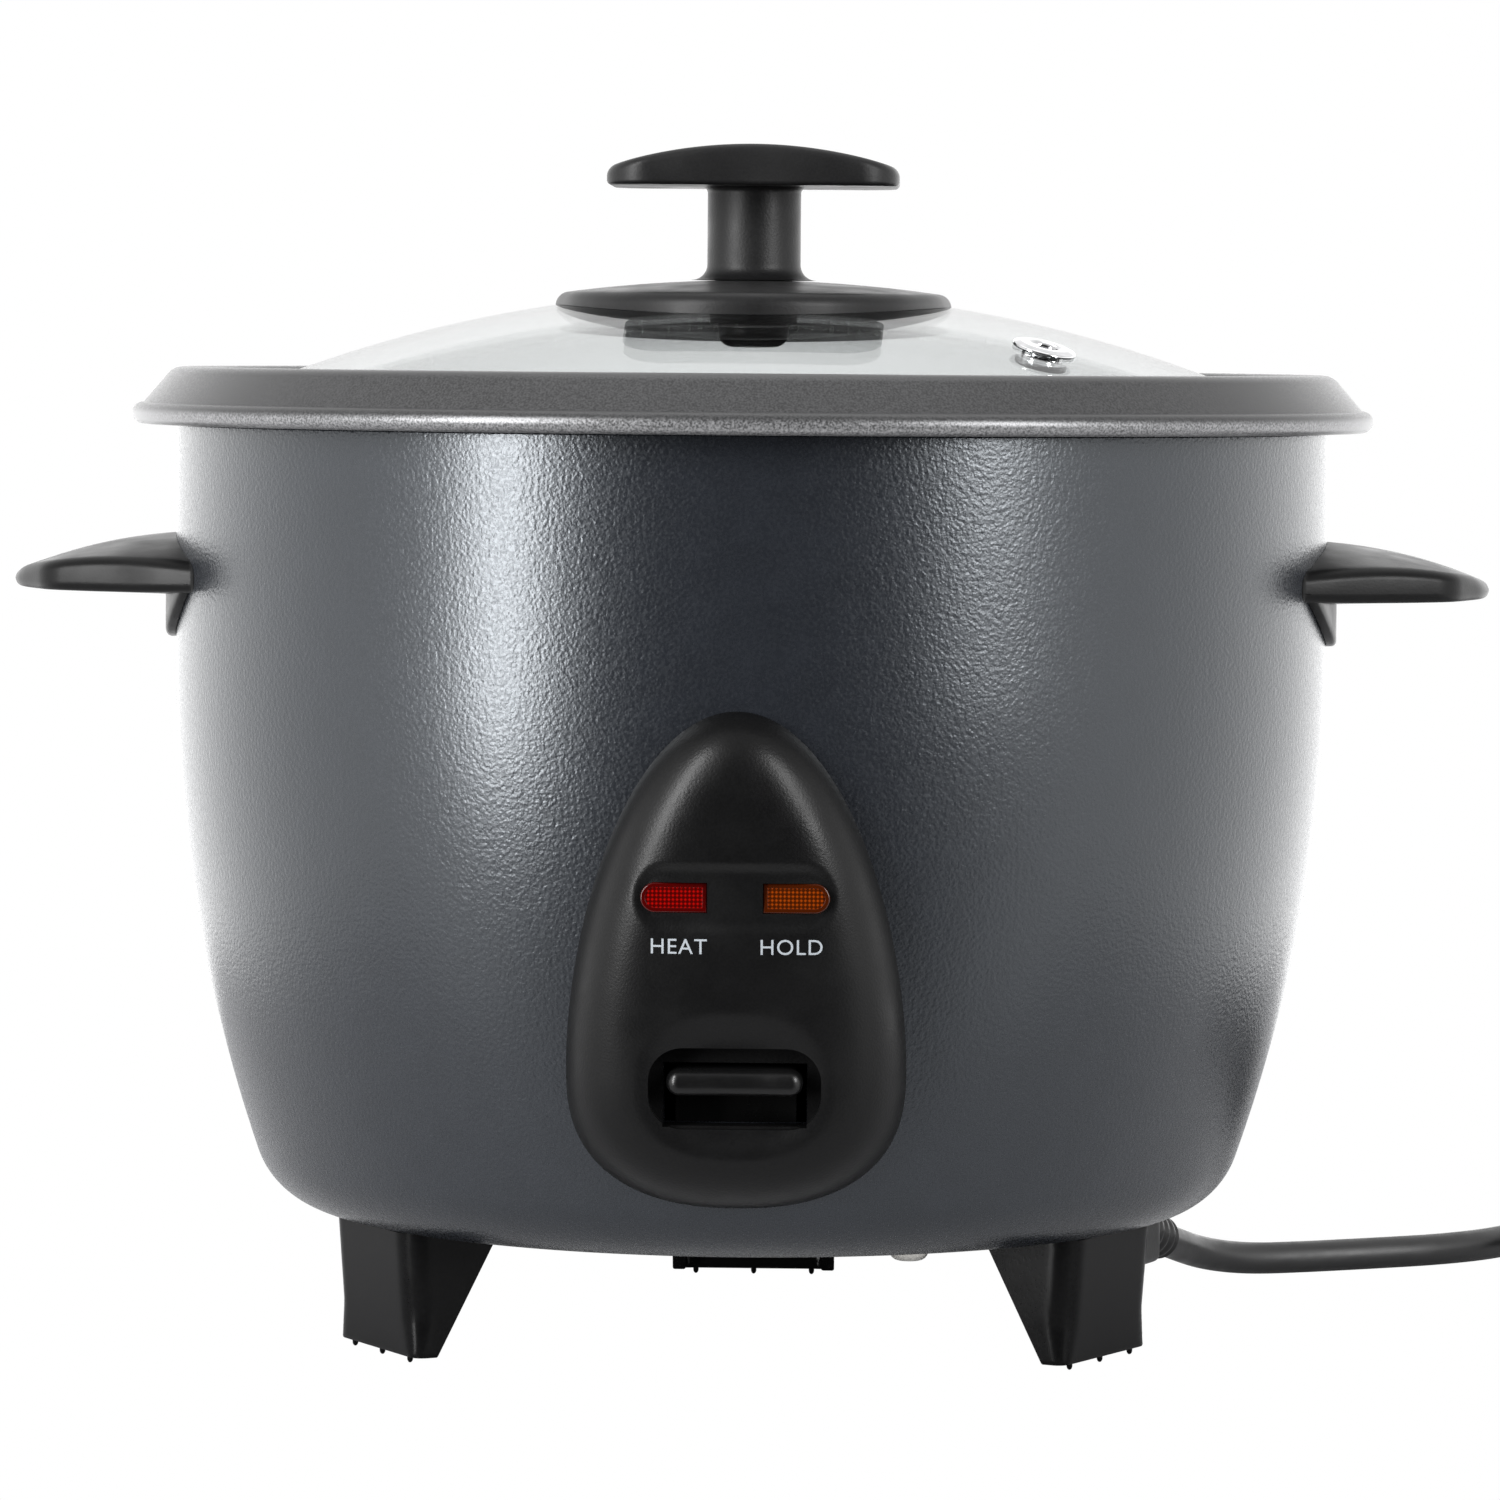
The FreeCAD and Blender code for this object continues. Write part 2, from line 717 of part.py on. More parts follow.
def lid_glass():
    """Domed glass with a hole for the knob's screw and one for the vent."""
    inner_r = dome_r - glass_t
    dome = turned(join(dome_arc(0, glass_r, dome_r), dome_arc(glass_r, 0, inner_r)))
    at, normal = vent_line()
    vent_hole = rod(at - normal * 2 * glass_t, at + normal * glass_t, vent_neck_r + touch)
    knob_hole = rod(V(0, 0, dome_top_z - 2 * glass_t), V(0, 0, dome_top_z + glass_t), knob_screw_r + touch)
    return dome.cut([vent_hole, knob_hole])


def lid_rim():
    """Rolled steel band round the glass, lying on the pot's seat."""
    inner = band_r - band_w
    cap = dome_arc(inner, band_r, dome_r + band_t)
    foot_line = Part.LineSegment(V(band_r, 0, seat_z), V(inner, 0, seat_z)).toShape()
    band = turned(join(cap, foot_line))
    glass = turned(join(dome_arc(0, glass_r, dome_r + touch), dome_arc(glass_r, 0, dome_r - glass_t - touch)))
    return band.cut(glass)


def vent_eyelet():
    """Steam vent: eyelet with a rounded flange above and a flat one below the glass."""
    top = ring(vent_bore_r, vent_r, touch, vent_flange_t)
    rims = [e for e in top.Edges if e.Closed and e.BoundBox.ZMin > vent_flange_t / 2]
    top = top.makeFillet(vent_flange_t * 0.45, rims)
    low = -glass_t - 3 * touch
    neck = ring(vent_bore_r, vent_neck_r, low - vent_flange_t, vent_flange_t / 2)
    under = ring(vent_bore_r, vent_r - vent_flange_t, low - vent_flange_t, low)
    eyelet = top.fuse([neck, under]).removeSplitter()
    at, normal = vent_line()
    eyelet.Placement = FreeCAD.Placement(at, FreeCAD.Rotation(UP, normal))
    return eyelet


knob_top_z = dome_top_z + knob_base_t
grip_low_z = knob_top_z + stem_h


def knob_base():
    """Oval plate that lies on the dome, crowned above and rounded at its edge."""
    long_end = V(0, knob_base_y / 2, dome_top_z - knob_base_y / 4)
    short_end = V(knob_base_x / 2, 0, long_end.z)
    oval = Part.Wire(Part.Ellipse(long_end, short_end, V(0, 0, long_end.z)).toShape())
    crown = Part.makeSphere(knob_base_dome_r, V(0, 0, knob_top_z - knob_base_dome_r))
    plate = prism(oval, V(0, 0, knob_base_y / 2)).common(crown)
    plate = plate.cut(Part.makeSphere(dome_r + touch, V(0, 0, dome_mid_z)))
    rim = max((e for e in plate.Edges if e.Length > knob_base_x), key=lambda e: e.CenterOfMass.z)
    plate = plate.makeFillet(knob_base_edge, [rim])
    return plate.cut(rod(V(0, 0, dome_mid_z), V(0, 0, knob_top_z + 1), knob_screw_r + touch))


def knob_grip():
    """T grip: round stem with a flared foot under a crowned bar."""
    stem = rod(V(0, 0, knob_top_z), V(0, 0, grip_low_z + grip_end_h / 2), stem_r)
    flare = Part.makeCone(stem_r + stem_foot, stem_r, 2 * stem_foot, V(0, 0, knob_top_z))
    sag = grip_h - grip_end_h
    crown_r = ((grip_x / 2) ** 2 + sag ** 2) / (2 * sag)
    top_z = grip_low_z + grip_h
    bar = prism(rounded(grip_x, grip_y, grip_corner).translated(V(0, 0, grip_low_z)), V(0, 0, grip_h + sag))
    roll = rod(V(0, -grip_y, top_z - crown_r), V(0, grip_y, top_z - crown_r), crown_r)
    bar = bar.common(roll)
    edges = [e for e in bar.Edges if e.BoundBox.ZMin > grip_low_z + grip_end_h / 2]
    bar = bar.makeFillet(grip_edge, edges)
    grip = bar.fuse([stem, flare]).removeSplitter()
    hole = rod(V(0, 0, knob_top_z - 1), V(0, 0, knob_top_z + stem_h / 2), knob_screw_r + touch)
    return grip.cut(hole)


def knob_washer():
    """Washer under the glass."""
    high = dome_z(knob_washer_r, dome_r - glass_t) - touch
    return ring(knob_screw_r + touch, knob_washer_r, high - knob_washer_t, high)


def knob_screw():
    """Screw with a domed head under the washer, up into the stem."""
    high = dome_z(knob_washer_r, dome_r - glass_t) - touch - knob_washer_t
    head = rod(V(0, 0, high - knob_boss_h), V(0, 0, high), knob_boss_r)
    low = [e for e in head.Edges if e.Closed and e.BoundBox.ZMax < high - knob_boss_h / 2]
    head = head.makeFillet(knob_boss_h * 0.6, low)
    shank = rod(V(0, 0, high - knob_boss_h / 2), V(0, 0, knob_top_z + stem_h / 2 - 1), knob_screw_r)
    return head.fuse(shank).removeSplitter()


def panel_outline(inset):
    """Teardrop outline: a rounded root curve above its widest height and a fuller one below."""
    half_w = panel_half_w - inset
    up = panel_top_z - panel_wide_z - inset
    down = panel_wide_z - panel_bottom_z - inset
    right = []
    for step in range(-4, 5):
        share = sin(radians(22.5 * abs(step)))
        if step < 0:
            width = (1 - share ** panel_low_full) ** panel_low_root
            right.append((half_w * width, panel_wide_z - down * share))
        else:
            width = sqrt(1 - share ** panel_top_full)
            right.append((half_w * width, panel_wide_z + up * share))
    points = [V(x, 0, z) for x, z in right]
    points += [V(-x, 0, z) for x, z in reversed(right[1:-1])]
    curve = Part.BSplineCurve()
    curve.interpolate(points, PeriodicFlag=True)
    return Part.Wire(curve.toShape())


def panel_form(inset):
    """Solid inside the panel's outline, standing off the body, drawn in by an inset."""
    block = prism(panel_outline(inset), V(0, -2 * body_r, 0))
    return block.common(body_form(panel_bulge - inset))


def lamp_face_y():
    """Flat floor of the recess round the lamps."""
    return -(wall_r(lamp_z) + panel_bulge - lamp_recess_d)


def lens_outline(side, play):
    """Lamp window: round at its outer end, square at its inner end."""
    half = lens_h / 2 + play
    inner = lamp_x - lens_w / 2 - play
    outer = lamp_x + lens_w / 2 + play - half
    p = [V(inner, 0, -half), V(outer, 0, -half), V(outer, 0, half), V(inner, 0, half)]
    edges = [Part.LineSegment(p[0], p[1]), Part.Arc(p[1], V(outer + half, 0, 0), p[2]),
             Part.LineSegment(p[2], p[3]), Part.LineSegment(p[3], p[0])]
    wire = Part.Wire([e.toShape() for e in edges])
    if side < 0:
        wire = wire.mirror(ORIGIN, V(1, 0, 0))
    return Part.Wire(wire.Edges)


def lens(side, play=0.0):
    """Solid of one lamp window, set into the recess."""
    outline = lens_outline(side, play).translated(V(0, lamp_face_y() + lens_sink, lamp_z))
    return prism(outline, V(0, lens_t, 0))


def control_panel():
    """Moulded teardrop cover with soft shoulders, lamp recess, screw bosses and a pocket round the lever."""
    form = panel_form(0)
    edge = max((e for e in form.Edges if e.Length > panel_half_w), key=lambda e: -e.CenterOfMass.y)
    form = form.makeFillet(panel_shoulder, [edge])
    hollow = panel_form(panel_wall)
    bosses = [rod(a, b + (b - a).normalize() * 2 * panel_wall, panel_boss_r) for a, b in panel_screw_lines()]
    way_in = V(0, -body_r, 0)
    grow = 2 * panel_wall
    pocket = rounded(slot_w + grow, slot_h + grow, slot_corner + panel_wall)
    blocks = bosses + [prism(facing_front(pocket, V(0, -ledge_r, slot_z)), way_in)]
    shape = form.cut(hollow).fuse([block.common(form) for block in blocks])
    recess = rounded(lamp_recess_w, lamp_recess_h, lamp_recess_h / 2)
    recess = facing_front(recess, V(0, lamp_face_y(), lamp_z))
    floor_y = -(wall_r(slot_z + slot_h / 2) + pocket_floor)
    opening = facing_front(rounded(slot_w, slot_h, slot_corner), V(0, floor_y, slot_z))
    cuts = [body_form(touch), prism(recess, way_in), prism(opening, way_in), lever_way(slip)]
    cuts += [moved_out(lens(side, touch)) for side in (-1, 1)]
    cuts += [rod(a, b, screw_r + touch) for a, b in panel_screw_lines()]
    return shape.cut(cuts)


def moved_out(shape):
    """A lens form lengthened forwards, to cut its window."""
    return shape.fuse(shape.translated(V(0, -lens_t / 2, 0))).removeSplitter()


def holder_low_y():
    """Back of the lenses, where the lamp holder's face lies."""
    return lamp_face_y() + lens_sink + lens_t


def holder_size():
    """Width and height of the lamp holder."""
    return 2 * lamp_x + lens_w, lens_h + 4


def lamp_window(play):
    """Way through the shell for the lamp holder."""
    w, h = holder_size()
    x = w / 2 + play
    z = h / 2 + play
    return box(V(-x, -body_r, lamp_z - z), V(x, -ledge_r, lamp_z + z))


def lamp_holder():
    """Block behind the lenses with a pocket for each lamp."""
    w, h = holder_size()
    y = holder_low_y()
    block = box(V(-w / 2, y, lamp_z - h / 2), V(w / 2, y + holder_deep, lamp_z + h / 2))
    half = V(lens_w / 2, holder_deep / 4, lens_h / 2)
    middles = [V(x, y + half.y, lamp_z) for x in (-lamp_x, lamp_x)]
    return block.cut([box(middle - half, middle + half) for middle in middles])


def neon_lamp(side):
    """Small glow lamp lying in its pocket."""
    y = holder_low_y() + holder_deep / 2 - lamp_r - touch
    x = side * lamp_x
    bulb = rod(V(x - lamp_l / 2, y, lamp_z), V(x + lamp_l / 2, y, lamp_z), lamp_r)
    return bulb.makeFillet(lamp_r * 0.7, [e for e in bulb.Edges if e.Closed])


def paddle_front_y():
    """Front edge of the lever's paddle."""
    return -(wall_r(paddle_z) + panel_bulge - paddle_sink)


def lever_way(play):
    """Way through the shell for the lever's paddle and its travel."""
    side = paddle_w / 2 + 2 * play
    low = paddle_z - paddle_t / 2 - lever_press - 2 * play
    return box(V(-side, -body_r, low), V(side, lever_pivot_y, paddle_z + paddle_t / 2 + 2 * play))


def switch_lever():
    """Rocking lever: rounded paddle, riser, bar, pivot boss and the nose that lifts the plunger."""
    half = lever_bar_w / 2
    bar_low = nose_z - lever_bar_t / 2
    riser_y = -(wall_r(bar_low - lever_press) - 3 * sheet)
    front_y = paddle_front_y()
    paddle = box(V(-paddle_w / 2, front_y, paddle_z - paddle_t / 2),
                 V(paddle_w / 2, riser_y + lever_bar_t, paddle_z + paddle_t / 2))
    edges = [e for e in paddle.Edges if e.BoundBox.YMax < front_y + 1 or e.BoundBox.YLength > paddle_t]
    paddle = paddle.makeFillet(paddle_t * 0.4, edges)
    riser = box(V(-half, riser_y, bar_low), V(half, riser_y + lever_bar_t, paddle_z))
    bar = box(V(-half, riser_y, bar_low), V(half, 0, nose_z + lever_bar_t / 2))
    nose = rod(V(-half, 0, nose_z), V(half, 0, nose_z), lever_nose_r)
    pivot = V(0, lever_pivot_y, lever_pivot_z)
    boss = rod(pivot - V(half, 0, 0), pivot + V(half, 0, 0), 2 * pin_r)
    lever = bar.fuse([riser, paddle, nose, boss]).removeSplitter()
    return lever.cut(rod(pivot - V(half, 0, 0), pivot + V(half, 0, 0), pin_r + pin_play))


def lever_pin():
    """Hinge pin through the bracket's ears."""
    reach = V(lever_bar_w / 2 + bracket_gap + bracket_t + pin_over, 0, 0)
    pivot = V(0, lever_pivot_y, lever_pivot_z)
    return rod(pivot - reach, pivot + reach, pin_r)


def switch_bracket():
    """Bent-sheet bracket on the base plate: two ears and a tongue under the spring."""
    inner = lever_bar_w / 2 + bracket_gap
    outer = inner + bracket_t
    near = lever_pivot_y + bracket_d / 2
    far = spring_y - 2 * lever_spring_r
    floor_plate = box(V(-outer, far, base_top_z), V(outer, near, base_top_z + bracket_t))
    ears = []
    for low_x in (-outer, inner):
        ears.append(box(V(low_x, near - bracket_d, base_top_z),
                        V(low_x + bracket_t, near, lever_pivot_z + 2 * pin_r)))
    pivot = V(0, lever_pivot_y, lever_pivot_z)
    hole = rod(pivot - V(2 * outer, 0, 0), pivot + V(2 * outer, 0, 0), pin_r)
    return floor_plate.fuse(ears).removeSplitter().cut(hole)


def lever_spring():
    """Spring under the bar that lifts the paddle."""
    low = base_top_z + bracket_t
    spring = coil_spring(lever_spring_r, spring_wire_r, low, nose_z - lever_bar_t / 2, 6, "lever spring")
    return spring.translated(V(0, spring_y, 0))


def contact_switch():
    """Switch block under the bar, with its button."""
    low = V(-switch_w / 2, switch_y - switch_l / 2, base_top_z)
    block = box(low, V(switch_w / 2, switch_y + switch_l / 2, base_top_z + switch_h))
    top = V(0, switch_y, nose_z - lever_bar_t / 2 - slip)
    return block.fuse(rod(V(0, switch_y, base_top_z + switch_h / 2), top, switch_button_r)).removeSplitter()


def terminal_block():
    """Mains terminals on the base plate, with three screw wells."""
    low = V(terminal_x - terminal_l / 2, terminal_y - terminal_w / 2, base_top_z)
    block = box(low, low + V(terminal_l, terminal_w, terminal_h))
    wells = []
    for step in (-1, 0, 1):
        well = V(terminal_x + step * terminal_l / 3, terminal_y, base_top_z + terminal_h / 2)
        wells.append(rod(well, well + UP * terminal_h, terminal_l / 10))
    return block.cut(wells)


def thermal_fuse():
    """Fuse in its sleeve, lying in a clip on the base plate."""
    z = base_top_z + fuse_clip_h + fuse_r
    return rod(V(fuse_x, fuse_y - fuse_l / 2, z), V(fuse_x, fuse_y + fuse_l / 2, z), fuse_r)


def fuse_clip():
    """Open clip that carries the fuse."""
    side = fuse_r + 2 * sheet
    block = box(V(fuse_x - side, fuse_y - fuse_l / 4, base_top_z),
                V(fuse_x + side, fuse_y + fuse_l / 4, base_top_z + fuse_clip_h + fuse_r))
    z = base_top_z + fuse_clip_h + fuse_r
    return block.cut(rod(V(fuse_x, fuse_y - fuse_l, z), V(fuse_x, fuse_y + fuse_l, z), fuse_r + touch))


def cord_gland():
    """Strain relief: block under the base and a tapered boot round the lead."""
    tip = cord_route[0]
    way = (cord_route[1] - tip).normalize()
    root = tip - way * gland_l
    boot = Part.makeCone(gland_root_r, gland_tip_r, gland_l, root, way)
    block = prism(rounded(gland_block, gland_block, gland_block / 5), V(0, 0, gland_block_h))
    block.rotate(ORIGIN, UP, degrees(atan2(way.y, way.x)))
    block.translate(V(root.x, root.y, base_z - gland_block_h))
    return block.fuse(boot).removeSplitter()


def tube(points, radius, name):
    """Round tube along straight runs joined by arcs as large as the runs allow."""
    edges = []
    here = points[0]
    bends = []
    for before, corner, after in zip(points, points[1:], points[2:]):
        into = (corner - before).normalize()
        out = (after - corner).normalize()
        cut = 0.45 * min((corner - before).Length, (after - corner).Length)
        turn = into.getAngle(out)
        bends.append(cut / tan(turn / 2))
        start = corner - into * cut
        end = corner + out * cut
        inward = (out - into).normalize()
        middle = corner + inward * (bends[-1] / cos(turn / 2) - bends[-1])
        edges.append(Part.LineSegment(here, start).toShape())
        edges.append(Part.Arc(start, middle, end).toShape())
        here = end
    edges.append(Part.LineSegment(here, points[-1]).toShape())
    spine = Part.Wire(edges)
    section = Part.Wire(Part.makeCircle(radius, points[0], points[1] - points[0]))
    solid = spine.makePipeShell([section], True, False)
    expected = pi * radius ** 2 * spine.Length
    print(name, "length", round(spine.Length, 1), "volume ratio", round(solid.Volume / expected, 4),
          "bend radii", [round(b, 1) for b in bends])
    return solid


coil_in_r = coil_turn_r - cord_r
coil_out_r = coil_turn_r + cord_r
coil_mid = cord_route[-1] + V(coil_out_r, 0, -cord_r)
tail_z = plug_h / 2
tail_route = [
    coil_mid + V(coil_out_r, 0, 3 * cord_r),
    coil_mid + V(coil_out_r + tail_aside * 0.3, -tail_l / 2, 2.9 * cord_r),
    coil_mid + V(coil_out_r + tail_aside, -tail_l, tail_z),
]


def power_cord():
    """The lead's free stretches: from the gland to the coil, and from the coil to the plug."""
    return Part.makeCompound([tube(cord_route, cord_r, "lead"), tube(tail_route, cord_r, "tail")])


def cord_coil():
    """Outer shape of the wound rest of the lead."""
    low = coil_mid.z + touch
    wound = ring(coil_in_r - cord_r, coil_out_r + cord_r, low, coil_mid.z + 4 * cord_r)
    wound = wound.makeFillet(cord_r * 0.8, [e for e in wound.Edges if e.Closed])
    return wound.translated(V(coil_mid.x, coil_mid.y, 0))


def plug_frame():
    """Start of the plug's neck and the way the plug points."""
    return tail_route[-1], (tail_route[-1] - tail_route[-2]).normalize()


def plug_body():
    """Moulded plug with a tapered neck."""
    at, way = plug_frame()
    level = V(way.x, way.y, 0).normalize()
    neck = Part.makeCone(cord_r + 1, cord_r + 2.2, plug_neck_l * 1.2, at, way)
    start = at + level * plug_neck_l
    block = prism(rounded(plug_w, plug_l, plug_edge * 2), V(0, 0, plug_h))
    block = block.makeFillet(plug_edge * 0.8, [e for e in block.Edges if e.BoundBox.ZLength < touch])
    block.rotate(ORIGIN, UP, degrees(atan2(level.y, level.x)) - 90)
    middle = start + level * (plug_l / 2)
    block.translate(V(middle.x, middle.y, 0))
    return block.fuse(neck).removeSplitter()


def plug_pins():
    """Two round pins."""
    at, way = plug_frame()
    level = V(way.x, way.y, 0).normalize()
    aside = V(-level.y, level.x, 0) * (plug_pin_pitch / 2)
    face = at + level * (plug_neck_l + plug_l)
    root = V(face.x, face.y, plug_h / 2)
    pins = []
    for offset in (aside, aside * -1):
        pin = rod(root + offset, root + offset + level * plug_pin_l, plug_pin_r)
        tip = [e for e in pin.Edges if e.Closed and (e.CenterOfMass - root).dot(level) > plug_pin_l / 2]
        pins.append(pin.makeFillet(plug_pin_r * 0.5, tip))
    return Part.makeCompound(pins)


PIECES = {
    "outer_shell": outer_shell,
    "base_plate": base_plate,
    "base_screws": lambda: screws(base_screw_lines()),
    "foot_screws": lambda: screws(foot_screw_lines()),
    "handle_screws": lambda: screws(handle_screw_lines()),
    "panel_screws": lambda: screws(panel_screw_lines()),
    "heat_shield": heat_shield,
    "heater_plate": heater_plate,
    "heating_element": heating_element,
    "heater_posts": heater_posts,
    "heater_screws": heater_screws,
    "thermostat_sleeve": thermostat_sleeve,
    "thermostat_cup": thermostat_cup,
    "upper_magnet": upper_magnet,
    "thermostat_spring": thermostat_spring,
    "magnet_plunger": magnet_plunger,
    "inner_pot": inner_pot,
    "lid_glass": lid_glass,
    "lid_rim": lid_rim,
    "vent_eyelet": vent_eyelet,
    "knob_base": knob_base,
    "knob_grip": knob_grip,
    "knob_washer": knob_washer,
    "knob_screw": knob_screw,
    "control_panel": control_panel,
    "cook_lens": lambda: lens(-1),
    "warm_lens": lambda: lens(1),
    "lamp_holder": lamp_holder,
    "cook_lamp": lambda: neon_lamp(-1),
    "warm_lamp": lambda: neon_lamp(1),
    "switch_lever": switch_lever,
    "lever_pin": lever_pin,
    "switch_bracket": switch_bracket,
    "lever_spring": lever_spring,
    "contact_switch": contact_switch,
    "terminal_block": terminal_block,
    "thermal_fuse": thermal_fuse,
    "fuse_clip": fuse_clip,
    "cord_gland": cord_gland,
    "power_cord": power_cord,
    "cord_coil": cord_coil,
    "plug_body": plug_body,
    "plug_pins": plug_pins,
}
PIECES.update({name: lambda a=angle: foot(a) for name, angle in FOOT_ANGLES.items()})
PIECES.update({name: lambda a=angle: handle(a) for name, angle in HANDLE_SIDES.items()})


def main():
    """Build every piece and write it out."""
    os.makedirs("parts", exist_ok=True)
    for name, make in PIECES.items():
        shape = make()
        if not shape.isValid():
            raise ValueError(name + " is not a valid shape")
        shape.exportStep("parts/" + name + ".step")


main()
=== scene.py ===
"""Looks of a rice cooker: finished surfaces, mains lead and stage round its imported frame.

Metres, +Z up, the front faces -Y. The origin is on the table under the body's axis.
"""
from math import atan2, cos, pi, radians, sin, tan

import bmesh
import bpy
import numpy as np
from bpy.props import FloatProperty, FloatVectorProperty, PointerProperty, StringProperty
from mathutils import Euler, Matrix, Vector


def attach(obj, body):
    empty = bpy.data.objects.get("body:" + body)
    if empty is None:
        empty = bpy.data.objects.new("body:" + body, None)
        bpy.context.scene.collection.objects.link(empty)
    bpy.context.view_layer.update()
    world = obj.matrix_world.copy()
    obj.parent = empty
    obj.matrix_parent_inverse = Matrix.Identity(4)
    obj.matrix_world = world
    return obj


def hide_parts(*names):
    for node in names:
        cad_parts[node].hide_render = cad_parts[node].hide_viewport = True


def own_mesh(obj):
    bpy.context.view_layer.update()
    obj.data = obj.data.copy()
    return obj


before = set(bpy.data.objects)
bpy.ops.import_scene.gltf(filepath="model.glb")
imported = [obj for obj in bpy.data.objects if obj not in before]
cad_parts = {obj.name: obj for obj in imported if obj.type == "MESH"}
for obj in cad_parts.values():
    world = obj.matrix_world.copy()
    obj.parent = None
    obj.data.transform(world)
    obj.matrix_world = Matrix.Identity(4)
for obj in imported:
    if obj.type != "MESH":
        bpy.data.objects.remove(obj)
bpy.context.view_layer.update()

bl_info = {
    "name": "Rice cooker looks",
    "version": (1, 0, 0),
    "blender": (4, 5, 0),
    "location": "View3D > Sidebar > Rice cooker",
    "description": "Finished surfaces, mains lead and stage of a rice cooker",
    "category": "Object",
}

MM = 0.001
TURN_STEPS = 288       # facets round a large turned piece
SMALL_TURN_STEPS = 72  # facets round a small turned piece
ARC_STEPS = 10         # facets along a corner
QUARTER = np.linspace(0, pi / 2, ARC_STEPS)    # angles over a rounded edge
SOFT_EDGE = radians(38)    # greatest angle between faces that are shaded as one surface
CORNER_SHARE = 0.495       # greatest share of a side that one rounded corner takes
LEAST_TURN = 0.4           # least cosine of half a corner that an offset follows to its point
TOUCH = 0.05 * MM          # gap between the faces of fixed pieces


def length(name, description, millimetres):
    """Length property given in millimetres and kept in metres."""
    return FloatProperty(name=name, description=description, default=millimetres * MM,
                         unit="LENGTH", precision=4)


def colour(name, description, red, green, blue):
    """Linear colour property."""
    return FloatVectorProperty(name=name, description=description, default=(red, green, blue),
                               subtype="COLOR", min=0, max=1)


class BodySizes(bpy.types.PropertyGroup):
    """Drawn body, its liner and the heater."""
    radius: length("Radius", "Outside of the straight upper wall", 108.9)
    sheet: length("Sheet", "Thickness of shell and liner", 0.8)
    base_z: length("Base height", "Underside of the body above the table", 24.4)
    straight_z: length("Straight wall", "Height where the taper starts", 130.0)
    waist_r: length("Waist radius", "Outside at the end of the taper", 93.1)
    waist_z: length("Waist height", "Height of the end of the taper", 35.0)
    base_r: length("Base radius", "End of the rounded bottom corner", 80.2)
    lip_w: length("Lip", "Inward lip that carries the base plate", 14.0)
    ledge_z: length("Ledge height", "Top of the inward ledge under the brim", 172.2)
    ledge_r: length("Ledge radius", "Inner edge of the ledge, outside of the liner's room", 96.0)
    edge: length("Edge round", "Rounding between wall and ledge", 0.35)
    floor_z: length("Liner floor", "Inside of the liner's floor", 65.0)
    floor_round: length("Liner corner", "Corner between the liner's wall and floor", 10.0)
    floor_hole: length("Liner hole", "Radius of the hole in the liner's floor", 11.55)
    flange_w: length("Liner flange", "Width of the liner's flange under the ledge", 6.0)
    heater_r: length("Heater radius", "Outside of the cast heater", 80.0)
    heater_low: length("Heater underside", "Height of the heater's underside", 72.0)
    heater_top: length("Heater top", "Height of the heater's top", 80.0)
    cup_r: length("Sensor radius", "Outside of the sensor cap", 18.0)
    cup_h: length("Sensor skirt", "Height of the sensor cap", 10.5)
    cup_wall: length("Sensor wall", "Wall of the sensor cap", 1.5)
    cup_t: length("Sensor top", "Thickness of the sensor cap's top", 2.5)
    cup_drop: length("Sensor drop", "Sensor cap below the heater's top", 0.3)


class PotSizes(bpy.types.PropertyGroup):
    """Lift-out pot with its ridged brim."""
    radius: length("Radius", "Outside of the wall", 93.5)
    wall: length("Wall", "Sheet thickness", 1.2)
    corner: length("Corner", "Outside corner between wall and floor", 20.0)
    seat_w: length("Lid seat", "Width of the flat ring that carries the lid", 6.5)
    seat_z: length("Lid seat height", "Top of that ring", 173.5)
    ridge_r: length("Ridge radius", "Crest of the brim", 107.7)
    ridge_z: length("Ridge height", "Top of the crest", 183.0)
    ridge_round: length("Ridge round", "Half width of the crest's curve", 2.0)
    bead_r: length("Bead place", "Radius of the rolled edge's middle", 115.3)
    bead_z: length("Bead height", "Height of the rolled edge's middle", 174.2)
    bead: length("Bead", "Radius of the rolled edge", 2.0)


